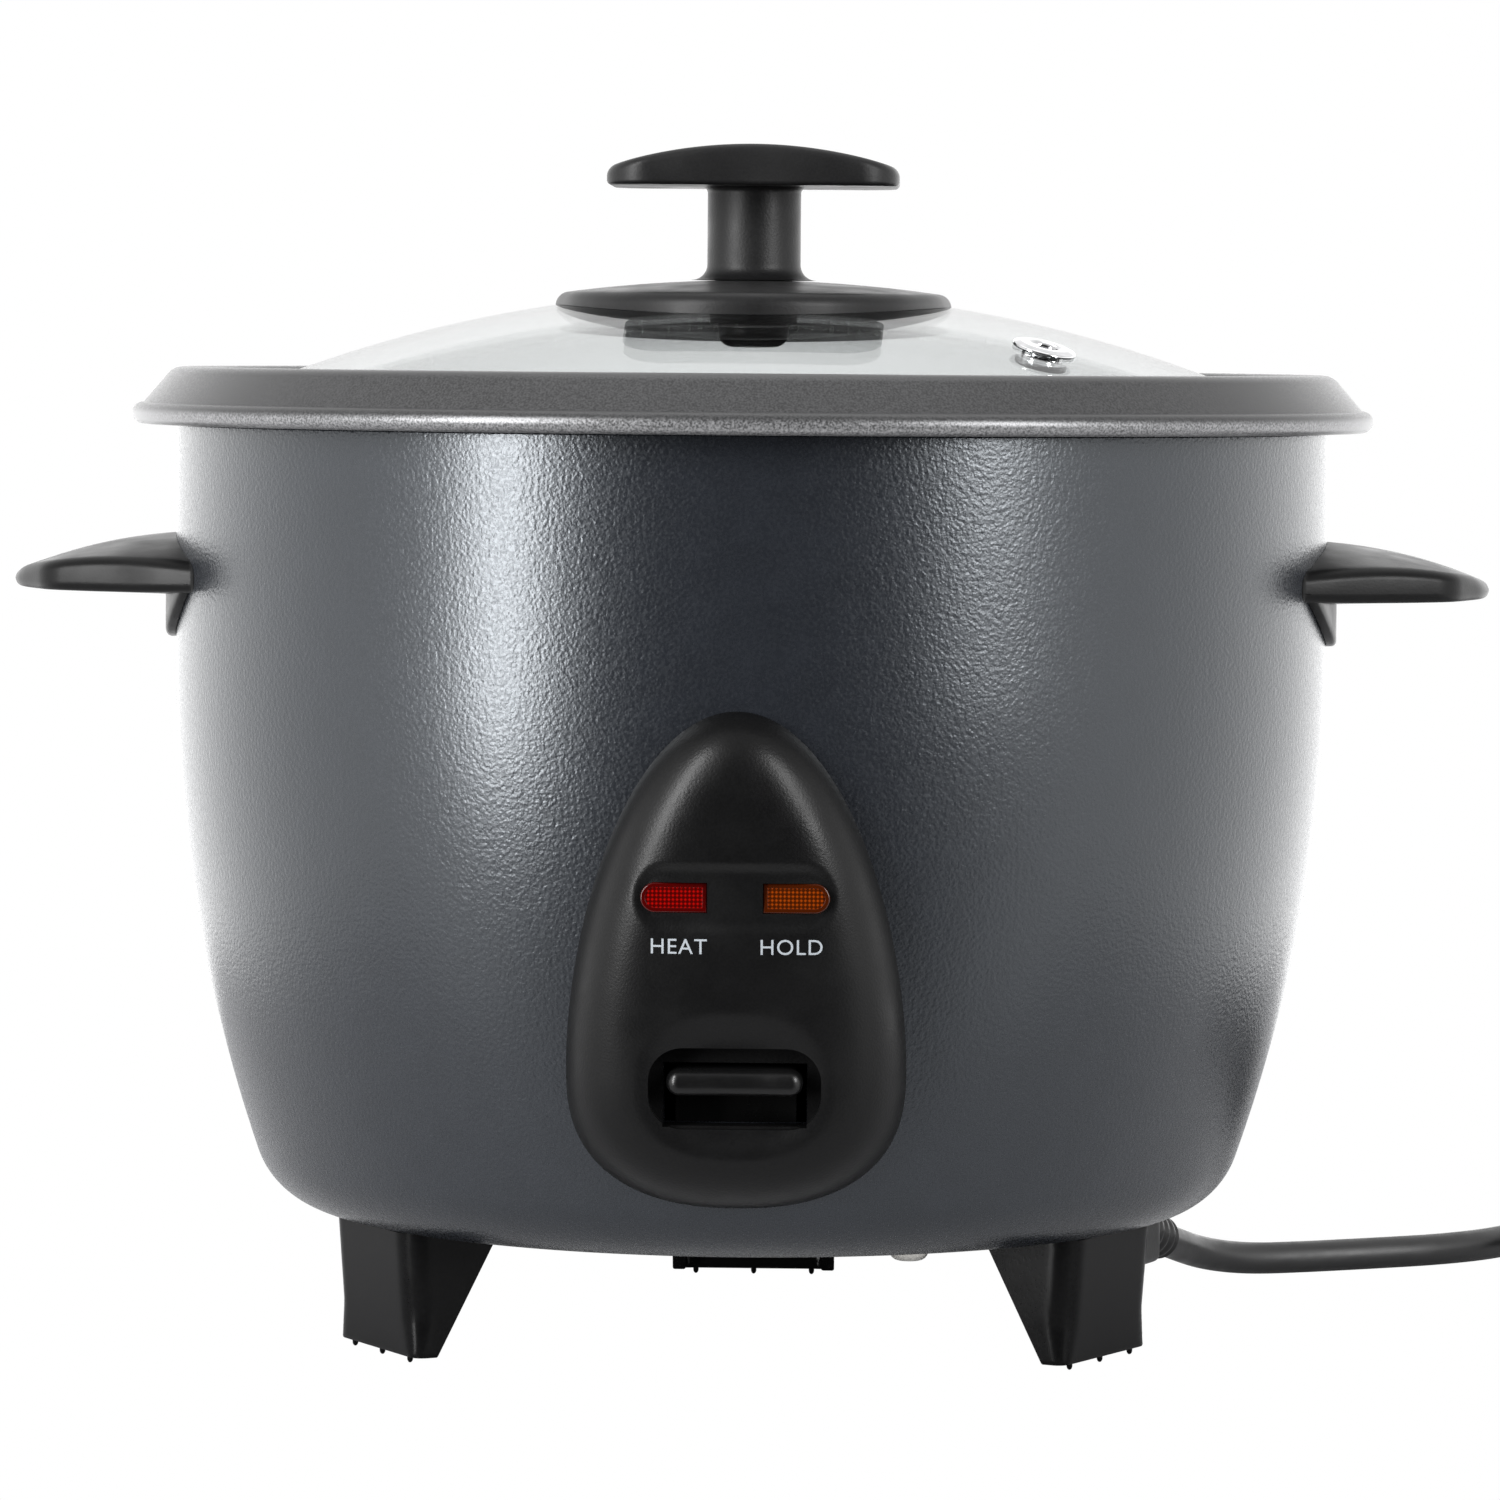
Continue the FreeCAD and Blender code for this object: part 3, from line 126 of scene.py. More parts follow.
class LidSizes(bpy.types.PropertyGroup):
    """Glass lid with its band, vent and knob."""
    dome_r: length("Dome radius", "Sphere of the glass's outside", 247.0)
    top_z: length("Dome top", "Top of the glass above the table", 198.0)
    glass_t: length("Glass", "Thickness of the glass", 4.0)
    glass_r: length("Glass edge", "Radius of the glass's edge", 96.6)
    band_r: length("Band radius", "Outside of the steel band", 97.8)
    band_w: length("Band width", "How far the band reaches inwards", 4.7)
    band_t: length("Band sheet", "Thickness of the band's cap", 0.6)
    vent_x: length("Vent across", "Place of the steam vent", 54.0)
    vent_y: length("Vent forward", "Place of the steam vent", -48.0)
    vent_r: length("Vent radius", "Outside of the vent's flange", 5.9)
    vent_bore: length("Vent bore", "Radius of the vent's hole", 2.4)
    vent_neck: length("Vent neck", "Radius of the tube through the glass", 3.8)
    vent_t: length("Vent flange", "Thickness of the vent's flange", 1.1)
    plate_x: length("Knob plate across", "Width of the oval plate", 75.0)
    plate_y: length("Knob plate along", "Length of the oval plate", 96.0)
    plate_t: length("Knob plate", "Thickness in the middle", 2.0)
    plate_edge: length("Knob plate edge", "Rounding of the plate's upper edge", 2.2)
    plate_crown_x: length("Knob plate crown across", "Radius of the plate's top across", 255.0)
    plate_crown_y: length("Knob plate crown along", "Radius of the plate's top along", 400.0)
    stem_r: length("Stem radius", "Radius of the knob's stem", 8.85)
    stem_h: length("Stem height", "From the plate to the grip", 17.6)
    stem_foot: length("Stem foot", "Flare at the stem's foot", 3.0)
    grip_x: length("Grip across", "Width of the grip", 55.0)
    grip_y: length("Grip along", "Length of the grip", 40.0)
    grip_h: length("Grip height", "Height in the middle", 7.7)
    grip_end: length("Grip end", "Height at the ends", 3.3)
    grip_corner: length("Grip corner", "Corner seen from above", 8.0)
    grip_edge: length("Grip edge", "Rounding of the upper edge", 1.6)


class PanelSizes(bpy.types.PropertyGroup):
    """Teardrop control panel with its lamps and lever."""
    top_z: length("Top", "Top of the outline", 124.0)
    low_z: length("Bottom", "Bottom of the outline", 34.9)
    wide_z: length("Widest height", "Height of the widest place", 60.0)
    half_w: length("Half width", "Half of the widest width", 30.1)
    bulge: length("Bulge", "How far the face stands off the body", 9.0)
    shoulder: length("Shoulder", "Width of the soft shoulder", 16.0)
    wall: length("Wall", "Thickness of the moulding", 2.0)
    recess_w: length("Lamp recess width", "Shallow recess round the lamps", 34.0)
    recess_h: length("Lamp recess height", "Shallow recess round the lamps", 10.7)
    recess_d: length("Lamp recess depth", "Depth of that recess", 0.7)
    lamp_x: length("Lamp place", "Middle of each window from the panel's middle", 10.7)
    lamp_z: length("Lamp height", "Middle of the windows", 91.8)
    lens_w: length("Window width", "Width of a lamp window", 11.6)
    lens_h: length("Window height", "Height of a lamp window", 5.2)
    lens_t: length("Window depth", "Thickness of a lamp window", 4.0)
    lens_sink: length("Window sink", "Window behind the recess's floor", 0.5)
    slot_w: length("Opening width", "Opening for the lever", 30.4)
    slot_h: length("Opening height", "Opening for the lever", 14.7)
    slot_z: length("Opening place", "Middle of the opening", 57.6)
    slot_corner: length("Opening corner", "Corner of the opening", 6.0)
    dish_side: length("Dish sides", "How far the dish reaches beside the opening", 2.6)
    dish_up: length("Dish above", "How far the dish reaches above the opening", 7.0)
    dish_low: length("Dish below", "How far the dish reaches below the opening", 6.0)
    dish_d: length("Dish depth", "Depth of the dish at the opening", 1.8)
    paddle_w: length("Paddle width", "Width of the lever's paddle", 24.0)
    paddle_t: length("Paddle thickness", "Height of the paddle", 4.8)
    paddle_z: length("Paddle height", "Middle of the paddle", 58.8)
    paddle_y: length("Paddle front", "Front edge of the paddle", -108.5)
    label_h: length("Label height", "Height of the lamp labels' letters", 2.8)
    label_x: length("Label across", "Middle of each label from the panel's middle", 9.85)
    label_z: length("Label place", "Middle of the lamp labels", 83.1)
    lamp_word_a: StringProperty(name="Left label", description="Word under the red lamp", default="HEAT")
    lamp_word_b: StringProperty(name="Right label", description="Word under the amber lamp", default="HOLD")


class GripSizes(bpy.types.PropertyGroup):
    """Side handles and feet."""
    out: length("Handle reach", "Reach beyond the body", 30.9)
    low_z: length("Handle height", "Underside of the handle", 141.3)
    root_w: length("Handle root", "Width against the body", 74.0)
    tip_w: length("Handle tip", "Width near the tip", 52.0)
    tip_back: length("Handle shoulder", "From the tip to the end of the straight sides", 8.5)
    side_h: length("Handle side", "Height of the side walls", 3.5)
    arch: length("Handle arch", "Extra height in the middle of the root", 6.7)
    tip_h: length("Handle tip height", "Height at the tip", 3.1)
    edge: length("Handle edge", "Rounding of the edges", 1.8)
    belly: length("Handle belly", "Bulge of the underside", 1.4)
    tongue_drop: length("Tongue", "Tongue below the handle", 9.7)
    tongue_t: length("Tongue thickness", "Thickness of the tongue", 2.0)
    foot_top: length("Foot top", "Outer wall of a foot at the base", 80.0)
    foot_low: length("Foot bottom", "Outer wall of a foot at the table", 78.2)
    foot_w: length("Foot width", "Width of a foot", 32.6)
    foot_wall: length("Foot wall", "Wall of a foot", 2.6)
    foot_top_d: length("Foot top depth", "Depth of the gussets at the base", 19.3)
    foot_low_d: length("Foot bottom depth", "Depth of the gussets at the table", 4.6)
    foot_corner: length("Foot corner", "Outer corner of a foot", 4.6)
    pip_r: length("Pip radius", "Small pips under a foot", 0.55)
    pip_h: length("Pip height", "Small pips under a foot", 1.2)


class LeadSizes(bpy.types.PropertyGroup):
    """Mains lead, its gland and its plug."""
    radius: length("Lead radius", "Radius of the mains lead", 3.25)
    coil_r: length("Coil radius", "Middle of the coil's turns", 35.0)
    gland_tip: length("Gland tip", "Radius of the boot's tip", 4.5)
    gland_root: length("Gland root", "Radius of the boot's root", 5.5)
    gland_l: length("Gland length", "Length of the boot", 30.0)
    gland_block: length("Gland block", "Width of the block under the base", 19.0)
    gland_h: length("Gland block height", "Height of the block under the base", 15.0)
    plug_l: length("Plug length", "Length of the plug's body", 40.0)
    plug_w: length("Plug width", "Width of the plug's body", 34.0)
    plug_h: length("Plug height", "Height of the plug's body", 17.0)
    plug_corner: length("Plug corner", "Corner of the plug seen from above", 10.0)
    plug_edge: length("Plug edge", "Rounding of the plug's edges", 4.0)
    neck_l: length("Plug neck", "Length of the plug's neck", 16.0)
    pin_r: length("Pin radius", "Radius of a plug pin", 2.4)
    pin_l: length("Pin length", "Length of a plug pin", 19.0)
    pin_pitch: length("Pin pitch", "Distance between the pins", 19.0)


class Colours(bpy.types.PropertyGroup):
    """Colours of the finishes."""
    shell: colour("Shell", "Textured paint of the body", 0.0072, 0.0082, 0.0105)
    plastic: colour("Plastic", "Moulded black plastic", 0.0023, 0.0023, 0.0024)
    pot: colour("Pot", "Coating of the pot and its brim", 0.036, 0.036, 0.037)
    steel: colour("Steel", "Bare sheet steel", 0.55, 0.55, 0.54)
    red: colour("Red lamp", "Left lamp window", 0.108, 0.0006, 0.0003)
    amber: colour("Amber lamp", "Right lamp window", 0.086, 0.0125, 0.0004)
    label: colour("Label", "Printed letters", 0.23, 0.25, 0.27)
    floor: colour("Floor", "Floor as the object sees it", 0.52, 0.52, 0.53)


def setting(group):
    """One of the object's property groups."""
    return getattr(bpy.context.scene, "cooker_" + group)


def arc(start, heading, end, steps=ARC_STEPS):
    """Points of the arc that leaves start along heading and turns by twice the angle from it to the chord."""
    chord = end - start
    half = atan2(heading[0] * chord[1] - heading[1] * chord[0], heading @ chord)
    middle = start + np.array([-heading[1], heading[0]]) * np.linalg.norm(chord) / (2 * sin(half))
    turn = np.linspace(0, 2 * half, steps + 1)[1:, None]
    spoke = start - middle
    side = np.array([-spoke[1], spoke[0]])
    return middle + spoke * np.cos(turn) + side * np.sin(turn)


def path(start, heading, *steps):
    """Flat line of points: a "line" step is straight, a "bend" step an arc tangent to the step before."""
    points = [np.array([start], float)]
    heading = np.array(heading, float)
    for kind, *place in steps:
        here = points[-1][-1]
        end = np.array(place)
        chord = (end - here) / np.linalg.norm(end - here)
        if kind == "line":
            points.append(end[None])
            heading = chord
        else:
            points.append(arc(here, heading, end, 3 * ARC_STEPS))
            heading = 2 * (heading @ chord) * chord - heading
    return np.concatenate(points)


def rectangle(half_w, half_h):
    """Corners of a rectangle about the origin."""
    return [(-half_w, -half_h), (half_w, -half_h), (half_w, half_h), (-half_w, half_h)]


def rod_section(radius, low, high):
    """Section of a rod between two heights."""
    return np.array([(0, low), (radius, low), (radius, high), (0, high)])


def eased(corners, radii, closed=True):
    """Flat line whose corners turn on arcs: about the point radius / cos(half turn) inside each corner."""
    corners = np.array(corners, float)
    radii = np.broadcast_to(radii, len(corners))
    points = []
    for i, corner in enumerate(corners):
        if not closed and i in (0, len(corners) - 1):
            points.append(corner[None])
            continue
        into = corner - corners[i - 1]
        out = corners[(i + 1) % len(corners)] - corner
        reach = CORNER_SHARE * min(np.linalg.norm(into), np.linalg.norm(out))
        into = into / np.linalg.norm(into)
        out = out / np.linalg.norm(out)
        half = np.arccos(np.clip(into @ out, -1, 1)) / 2
        radius = min(radii[i], reach / tan(half))
        inward = (out - into) / np.linalg.norm(out - into)
        along = (out + into) / np.linalg.norm(out + into)
        turn = np.linspace(-half, half, ARC_STEPS + 1)[:, None]
        points.append(corner + radius * (inward / cos(half) - inward * np.cos(turn) + along * np.sin(turn)))
    return np.concatenate(points)


def evenly(line, count, closed=True):
    """Flat line walked in equal steps: points at equal shares of its length."""
    line = np.vstack([line, line[:1]]) if closed else line
    far = np.concatenate([[0], np.cumsum(np.linalg.norm(np.diff(line, axis=0), axis=1))])
    share = np.linspace(0, far[-1], count, endpoint=not closed)
    return np.stack([np.interp(share, far, line[:, k]) for k in (0, 1)], axis=1)


def left_of(line, closed=False):
    """Unit normals to the left of a flat line, long enough at corners to keep an offset's width."""
    run = np.diff(np.vstack([line, line[:1]]), axis=0)
    run = run / np.maximum(np.linalg.norm(run, axis=1, keepdims=True), 1e-12)
    before = np.roll(run, 1, axis=0)
    if not closed:
        before[0] = run[0]
        run[-1] = before[-1]
    mean = before + run
    mean = mean / np.linalg.norm(mean, axis=1, keepdims=True)
    stretch = 1 / np.maximum(np.einsum("ij,ij->i", mean, run), LEAST_TURN)
    return np.stack([-mean[:, 1], mean[:, 0]], axis=1) * stretch[:, None]


def thickened(line, wall):
    """Closed section of a sheet: the line, then back along its offset to the left."""
    return np.vstack([line, (line + left_of(line) * wall)[::-1]])


def turned(section, steps=TURN_STEPS):
    """Surface of revolution: every (r, z) of the section goes round +Z in equal angles.
    Rows follow the section."""
    angle = np.linspace(0, 2 * pi, steps, endpoint=False)
    r = section[:, :1]
    return np.stack([r * np.cos(angle), r * np.sin(angle), section[:, 1:] + 0 * angle], axis=-1)


def inset_rings(outline, insets, fills, low, high=None):
    """Flat rings inside a closed anticlockwise outline: first offset inwards by each inset, then drawn
    in evenly by each fill, from 0 at the last inset to 1 on the nearest point between low and high."""
    inward = left_of(outline, closed=True)
    rings = [outline + inward * inset for inset in insets]
    low = np.array(low, float)
    way = (low if high is None else np.array(high, float)) - low
    share = np.clip((rings[-1] - low) @ way / max(way @ way, 1e-18), 0, 1)
    core = low + share[:, None] * way
    rings += [rings[-1] * (1 - fill) + core * fill for fill in fills]
    return np.array(rings)


def edge_rise(fills):
    """Share of a rounded edge's height over its rings: a quarter circle, then 1 over the fills."""
    return np.concatenate([np.sin(QUARTER), np.ones(len(fills))])


def raised(rings, heights):
    """Flat rings lifted to heights, one for each ring or one for each point."""
    heights = np.broadcast_to(heights, rings.shape[:2])
    return np.concatenate([rings, heights[..., None]], axis=-1)


def weave(rows, columns, close_rows=False):
    """Quads of a grid of points whose columns close, and whose rows may close too."""
    row = np.arange(rows if close_rows else rows - 1)[:, None]
    column = np.arange(columns)[None]
    next_row = (row + 1) % rows
    next_column = (column + 1) % columns
    corners = (row * columns + column, row * columns + next_column,
               next_row * columns + next_column, next_row * columns + column)
    return np.stack([c.reshape(-1) for c in corners], axis=1)


def outward(points, quads):
    """Quads turned to face outwards: reversed where the volume that they enclose is negative."""
    a, b, c, d = (points[quads[:, k]] for k in range(4))
    volume = np.einsum("ij,ij", a, np.cross(b, c)) + np.einsum("ij,ij", a, np.cross(c, d))
    return quads if volume > 0 else quads[:, ::-1]


def closed_form(grid, close_rows=False):
    """Points and outward quads of one grid."""
    points = grid.reshape(-1, 3)
    return points, outward(points, weave(*grid.shape[:2], close_rows))


def stood(points, way, at):
    """Points turned so that +Z points along way, then moved to a place."""
    way = np.array(way, float) / np.linalg.norm(way)
    side = np.cross([0, 0, 1.0], way)
    side = side / np.linalg.norm(side) if np.linalg.norm(side) > 1e-9 else np.array([1.0, 0, 0])
    return points @ np.stack([side, np.cross(way, side), way]) + np.array(at)


def spun(grid, angle):
    """Grid of points turned about +Z."""
    c, s = cos(angle), sin(angle)
    return grid @ np.array([[c, s, 0], [-s, c, 0], [0, 0, 1.0]])


def turned_along(section, way, at, close_rows=False):
    """Closed form turned about an axis that leaves a place along way."""
    points = stood(turned(section, SMALL_TURN_STEPS).reshape(-1, 3), way, at)
    return points, outward(points, weave(len(section), SMALL_TURN_STEPS, close_rows))


def welded(mesh):
    """Merge the points that lie in one place and drop the faces that this empties."""
    work = bmesh.new()
    work.from_mesh(mesh)
    bmesh.ops.remove_doubles(work, verts=work.verts, dist=1e-6)
    bmesh.ops.dissolve_degenerate(work, edges=work.edges, dist=1e-7)
    work.to_mesh(mesh)
    work.free()


def places_of(mesh):
    """Places of a mesh's points."""
    places = np.empty(len(mesh.vertices) * 3)
    mesh.vertices.foreach_get("co", places)
    return places.reshape(-1, 3)


def mark(mesh, name, values):
    """Let a mesh carry a number on each of its points."""
    mesh.attributes.new(name, "FLOAT", "POINT").data.foreach_set("value", values)


def mesh_of(name, forms):
    """Object at the origin from closed forms, with poles and seams merged and soft edges smoothed."""
    mesh = bpy.data.meshes.new(name)
    points = np.concatenate([p for p, _ in forms])
    starts = np.cumsum([0] + [len(p) for p, _ in forms])
    quads = np.concatenate([q + start for (_, q), start in zip(forms, starts)])
    mesh.from_pydata(points.tolist(), [], quads.tolist())
    welded(mesh)
    mesh.shade_smooth()
    mesh.set_sharp_from_angle(angle=SOFT_EDGE)
    thing = bpy.data.objects.new(name, mesh)
    bpy.context.scene.collection.objects.link(thing)
    return thing


def applied(thing):
    """The object with its modifiers made part of its mesh."""
    bpy.context.view_layer.update()
    old = thing.data
    made = thing.evaluated_get(bpy.context.evaluated_depsgraph_get())
    thing.data = bpy.data.meshes.new_from_object(made)
    thing.modifiers.clear()
    thing.data.name = old.name
    bpy.data.meshes.remove(old)
    thing.data.set_sharp_from_angle(angle=SOFT_EDGE)
    return thing


def combined(thing, forms, way):
    """The object cut by other closed forms, or united with them."""
    tools = []
    for form in forms:
        tool = mesh_of("tool", [form])
        modifier = thing.modifiers.new("tool", "BOOLEAN")
        modifier.operation = way
        modifier.solver = "EXACT"
        modifier.object = tool
        tools.append(tool)
    applied(thing)
    for tool in tools:
        bpy.data.meshes.remove(tool.data)
    return thing


def placed(thing, body, finish, nodes=()):
    """A finished piece: its material, the body it rides on and the nodes that it stands for."""
    thing.data.materials.clear()
    thing.data.materials.append(finish)
    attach(thing, body)
    if nodes:
        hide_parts(*nodes)
    return thing


def pillow(plan, edge, low, high, crown):
    """Closed form over a flat plan: quarter circles round both edges, flat below and crowned by a parabola
    above. Rows go from the middle of the underside over the rim to the middle of the top."""
    fills = np.linspace(0.1, 1, 10)
    rings = inset_rings(plan, edge * (1 - np.cos(QUARTER)), fills, plan.mean(axis=0))
    rise = edge * edge_rise(fills)
    share = np.concatenate([np.zeros(ARC_STEPS), fills])
    top = high - crown - edge + rise + crown * (1 - (1 - share) ** 2)
    height = np.concatenate([(low + edge - rise)[::-1], top])
    return raised(np.concatenate([rings[::-1], rings]), height[:, None])


class Finish:
    """Builds one material round a principled shader. A value that is the same all over sits on its socket."""

    def __init__(self, name, base, roughness, metallic=0.0):
        self.material = bpy.data.materials.new(name)
        self.material.use_nodes = True
        self.nodes = self.material.node_tree.nodes
        self.links = self.material.node_tree.links
        self.shader = self.nodes["Principled BSDF"]
        self.place = self.nodes.new("ShaderNodeTexCoord").outputs["Object"]
        self.put("Base Color", (*base, 1))
        self.put("Roughness", roughness)
        self.put("Metallic", metallic)

    def put(self, socket, value):
        """Set one of the shader's sockets."""
        self.shader.inputs[socket].default_value = value
        return self

    def grain(self, scale, detail=2.0, stretch=None):
        """Noise on Object coordinates, drawn out along an axis where stretch is given."""
        noise = self.nodes.new("ShaderNodeTexNoise")
        noise.inputs["Scale"].default_value = scale
        noise.inputs["Detail"].default_value = detail
        where = self.place
        if stretch:
            mapping = self.nodes.new("ShaderNodeMapping")
            mapping.inputs["Scale"].default_value = stretch
            self.links.new(self.place, mapping.inputs["Vector"])
            where = mapping.outputs["Vector"]
        self.links.new(where, noise.inputs["Vector"])
        return noise.outputs["Fac"]

    def attribute(self, name):
        """A number that the mesh carries on its points."""
        node = self.nodes.new("ShaderNodeAttribute")
        node.attribute_name = name
        return node.outputs["Fac"]

    def maths(self, way, one, two):
        """Sum, product or another function of two sockets or numbers."""
        node = self.nodes.new("ShaderNodeMath")
        node.operation = way
        for value, socket in zip((one, two), node.inputs):
            if isinstance(value, (int, float)):
                socket.default_value = value
            else:
                self.links.new(value, socket)
        return node.outputs["Value"]

    def spread(self, source, low, high, start=0.35, end=0.65):
        """A grain's middle range, from start to end, spread from low to high."""
        node = self.nodes.new("ShaderNodeMapRange")
        for socket, value in (("From Min", start), ("From Max", end), ("To Min", low), ("To Max", high)):
            node.inputs[socket].default_value = value
        self.links.new(source, node.inputs["Value"])
        return node.outputs["Result"]

    def shade(self, source, dark, light, start=0.35, end=0.65):
        """Two colours that follow a grain."""
        node = self.nodes.new("ShaderNodeValToRGB")
        first, last = node.color_ramp.elements
        first.position, first.color = start, (*dark, 1)
        last.position, last.color = end, (*light, 1)
        self.links.new(source, node.inputs["Fac"])
        return node.outputs["Color"]

    def drive(self, socket, source):
        """Let a texture lead one of the shader's sockets."""
        self.links.new(source, self.shader.inputs[socket])
        return self

    def rough(self, source, low, high):
        """Roughness that follows a grain."""
        return self.drive("Roughness", self.spread(source, low, high))

    def bump(self, source, height, strength=1.0):
        """Relief that follows a grain, its height in metres."""
        node = self.nodes.new("ShaderNodeBump")
        node.inputs["Distance"].default_value = height
        node.inputs["Strength"].default_value = strength
        self.links.new(source, node.inputs["Height"])
        earlier = self.shader.inputs["Normal"].links
        if earlier:
            self.links.new(earlier[0].from_socket, node.inputs["Normal"])
        self.links.new(node.outputs["Normal"], self.shader.inputs["Normal"])
        return self


def toned(base, share):
    """A colour made lighter or darker."""
    return tuple(min(1.0, part * share) for part in base)


def shell_paint(name):
    """Anthracite paint with a fine hammered skin about 1 mm across."""
    base = setting("colours").shell
    paint = Finish(name, base, 0.26)
    skin = paint.grain(1400, 1.5)
    paint.drive("Base Color", paint.shade(paint.grain(160, 3.0), toned(base, 0.94), toned(base, 1.08)))
    paint.rough(paint.grain(1900, 1.0), 0.23, 0.31)
    paint.put("Specular Tint", (0.90, 0.95, 1.0, 1))
    paint.bump(skin, 0.13 * MM, 0.6)
    return paint.material


def moulded(name, roughness, grain_scale, grain_height, ior, share=1.0):
    """Black moulded plastic with a spark-eroded grain and faint handling marks."""
    base = toned(setting("colours").plastic, share)
    plastic = Finish(name, base, roughness)
    skin = plastic.grain(grain_scale, 1.0)
    plastic.drive("Base Color", plastic.shade(skin, toned(base, 0.85), toned(base, 1.25)))
    plastic.rough(plastic.grain(90, 4.0), roughness - 0.05, roughness + 0.06)
    plastic.put("IOR", ior)
    plastic.bump(skin, grain_height)
    return plastic.material


def pot_coat(name):
    """Dark metallic coating with a fine fleck, lighter on the outer, lower side of the rolled edge."""
    base = setting("colours").pot
    coat = Finish(name, base, 0.36, 0.55)
    fleck = coat.grain(2600, 2.0)
    # Lighter colour on the outer, lower side of the rolled edge
    edge = coat.attribute("lighter_bead_band")
    dark = coat.shade(fleck, toned(base, 0.75), toned(base, 1.45))
    bright = coat.shade(fleck, toned(base, 1.6), toned(base, 5.5))
    mix = coat.nodes.new("ShaderNodeMix")
    mix.data_type = "RGBA"
    coat.links.new(edge, mix.inputs["Factor"])
    coat.links.new(dark, mix.inputs["A"])
    coat.links.new(bright, mix.inputs["B"])
    coat.drive("Base Color", mix.outputs["Result"])
    coat.rough(fleck, 0.31, 0.45)
    coat.bump(fleck, 0.02 * MM)
    return coat.material


def lid_glass(name):
    """Clear tempered glass, faintly grey."""
    glass = Finish(name, (0.90, 0.92, 0.92), 0.0)
    glass.put("Transmission Weight", 1.0).put("IOR", 1.22)
    return glass.material


def metal(name, base, roughness, grain_scale=900, stretch=None, height=0.01 * MM):
    """Bare metal with drawing marks or a cast grain."""
    bare = Finish(name, base, roughness, 1.0)
    marks = bare.grain(grain_scale, 3.0, stretch)
    bare.drive("Base Color", bare.shade(marks, toned(base, 0.86), toned(base, 1.06)))
    bare.rough(marks, roughness * 0.75, roughness * 1.3)
    bare.bump(marks, height)
    return bare.material


def lamp_window(name, base):
    """Tinted window over a grid of small prisms 0.72 mm apart. Its colour and glow are painted lamp light:
    dark at the rim, brighter over the dotted field, in bright and dark dots that follow the prism grid.
    """
    pitch = 2 * pi / (0.72 * MM)
    window = Finish(name, base, 0.16)
    apart = window.nodes.new("ShaderNodeSeparateXYZ")
    window.links.new(window.place, apart.inputs["Vector"])
    turns = [window.maths("MULTIPLY", apart.outputs[axis], pitch) for axis in ("X", "Z")]
    waves = [window.maths("COSINE", turn, 0) for turn in turns]
    prism = window.spread(window.maths("ADD", *waves), 0.0, 1.0, -0.3, 2.0)
    field = window.maths("MULTIPLY", prism, window.attribute("lit_field"))
    # Painted lamp light: colour from dark at the rim to bright in the dotted field, also used as the glow
    glow = window.shade(field, toned(base, 0.28), toned(base, 1.9), 0.0, 1.0)
    window.drive("Base Color", glow)
    window.drive("Emission Color", glow)
    window.put("Emission Strength", 0.12).put("IOR", 1.3)
    window.put("Coat Weight", 0.12).put("Coat Roughness", 0.06)
    window.bump(field, 0.03 * MM)
    return window.material


def printed(name):
    """Flat screen-printed ink."""
    base = setting("colours").label
    ink = Finish(name, base, 0.6)
    ink.drive("Base Color", ink.shade(ink.grain(5000, 1.0), toned(base, 0.9), toned(base, 1.05)))
    return ink.material


def lead_rubber(name):
    """Black sheath of the mains lead with a dull skin."""
    base = toned(setting("colours").plastic, 1.5)
    rubber = Finish(name, base, 0.42)
    rubber.rough(rubber.grain(220, 3.0), 0.36, 0.5)
    rubber.bump(rubber.grain(1400, 2.0), 0.02 * MM)
    return rubber.material


def pale_plastic(name):
    """Off-white heat-proof plastic of the fittings inside."""
    base = (0.55, 0.53, 0.48)
    plastic = Finish(name, base, 0.5)
    plastic.drive("Base Color", plastic.shade(plastic.grain(300, 3.0), toned(base, 0.9), toned(base, 1.05)))
    plastic.bump(plastic.grain(1500, 1.0), 0.02 * MM)
    return plastic.material


# Roughness, grains along a metre, height of the grain, refractive index and tone of each black plastic
PLASTICS = {
    "knob_plastic": (0.44, 2200, 0.03 * MM, 1.29, 2.0),
    "knob_fixing": (0.35, 1700, 0.02 * MM, 1.4),
    "panel_plastic": (0.36, 2300, 0.035 * MM, 1.25),
    "handle_plastic": (0.40, 1900, 0.016 * MM, 1.23),
    "lever_plastic": (0.3, 2600, 0.012 * MM, 1.34),
    "foot_plastic": (0.2, 1500, 0.01 * MM, 1.16),
    "plug_plastic": (0.36, 1600, 0.03 * MM, 1.36),
}

# Colour, roughness, grains along a metre, how the grain is drawn out and its height, for each bare metal
# and for the bright glass of the lamps
METALS = {
    "lamp_glass": ((0.8, 0.78, 0.72), 0.2),
    "screw_steel": ((0.5, 0.49, 0.46), 0.34, 1500),
    "spring_steel": ((0.42, 0.42, 0.42), 0.3, 2000),
    "element_steel": ((0.16, 0.15, 0.15), 0.45, 900),
    "magnet_iron": ((0.1, 0.1, 0.11), 0.5, 1400),
    "cast_aluminium": ((0.62, 0.62, 0.61), 0.42, 1300, None, 0.04 * MM),
    "bright_chrome": ((0.62, 0.62, 0.63), 0.09, 400, None, 0.002 * MM),
}

# Maker of each other finish
FINISHES = {
    "shell_paint": shell_paint,
    "pot_coat": pot_coat,
    "lid_glass": lid_glass,
    "printed_ink": printed,
    "cord_rubber": lead_rubber,
    "pale_plastic": pale_plastic,
    "red_lens": lambda name: lamp_window(name, setting("colours").red),
    "amber_lens": lambda name: lamp_window(name, setting("colours").amber),
    "sheet_steel": lambda name: metal(name, setting("colours").steel, 0.32, 700, (1, 1, 0.06), 0.002 * MM),
    "rim_steel": lambda name: metal(name, toned(setting("colours").steel, 1.1), 0.22, 800, (1, 1, 0.2)),
}


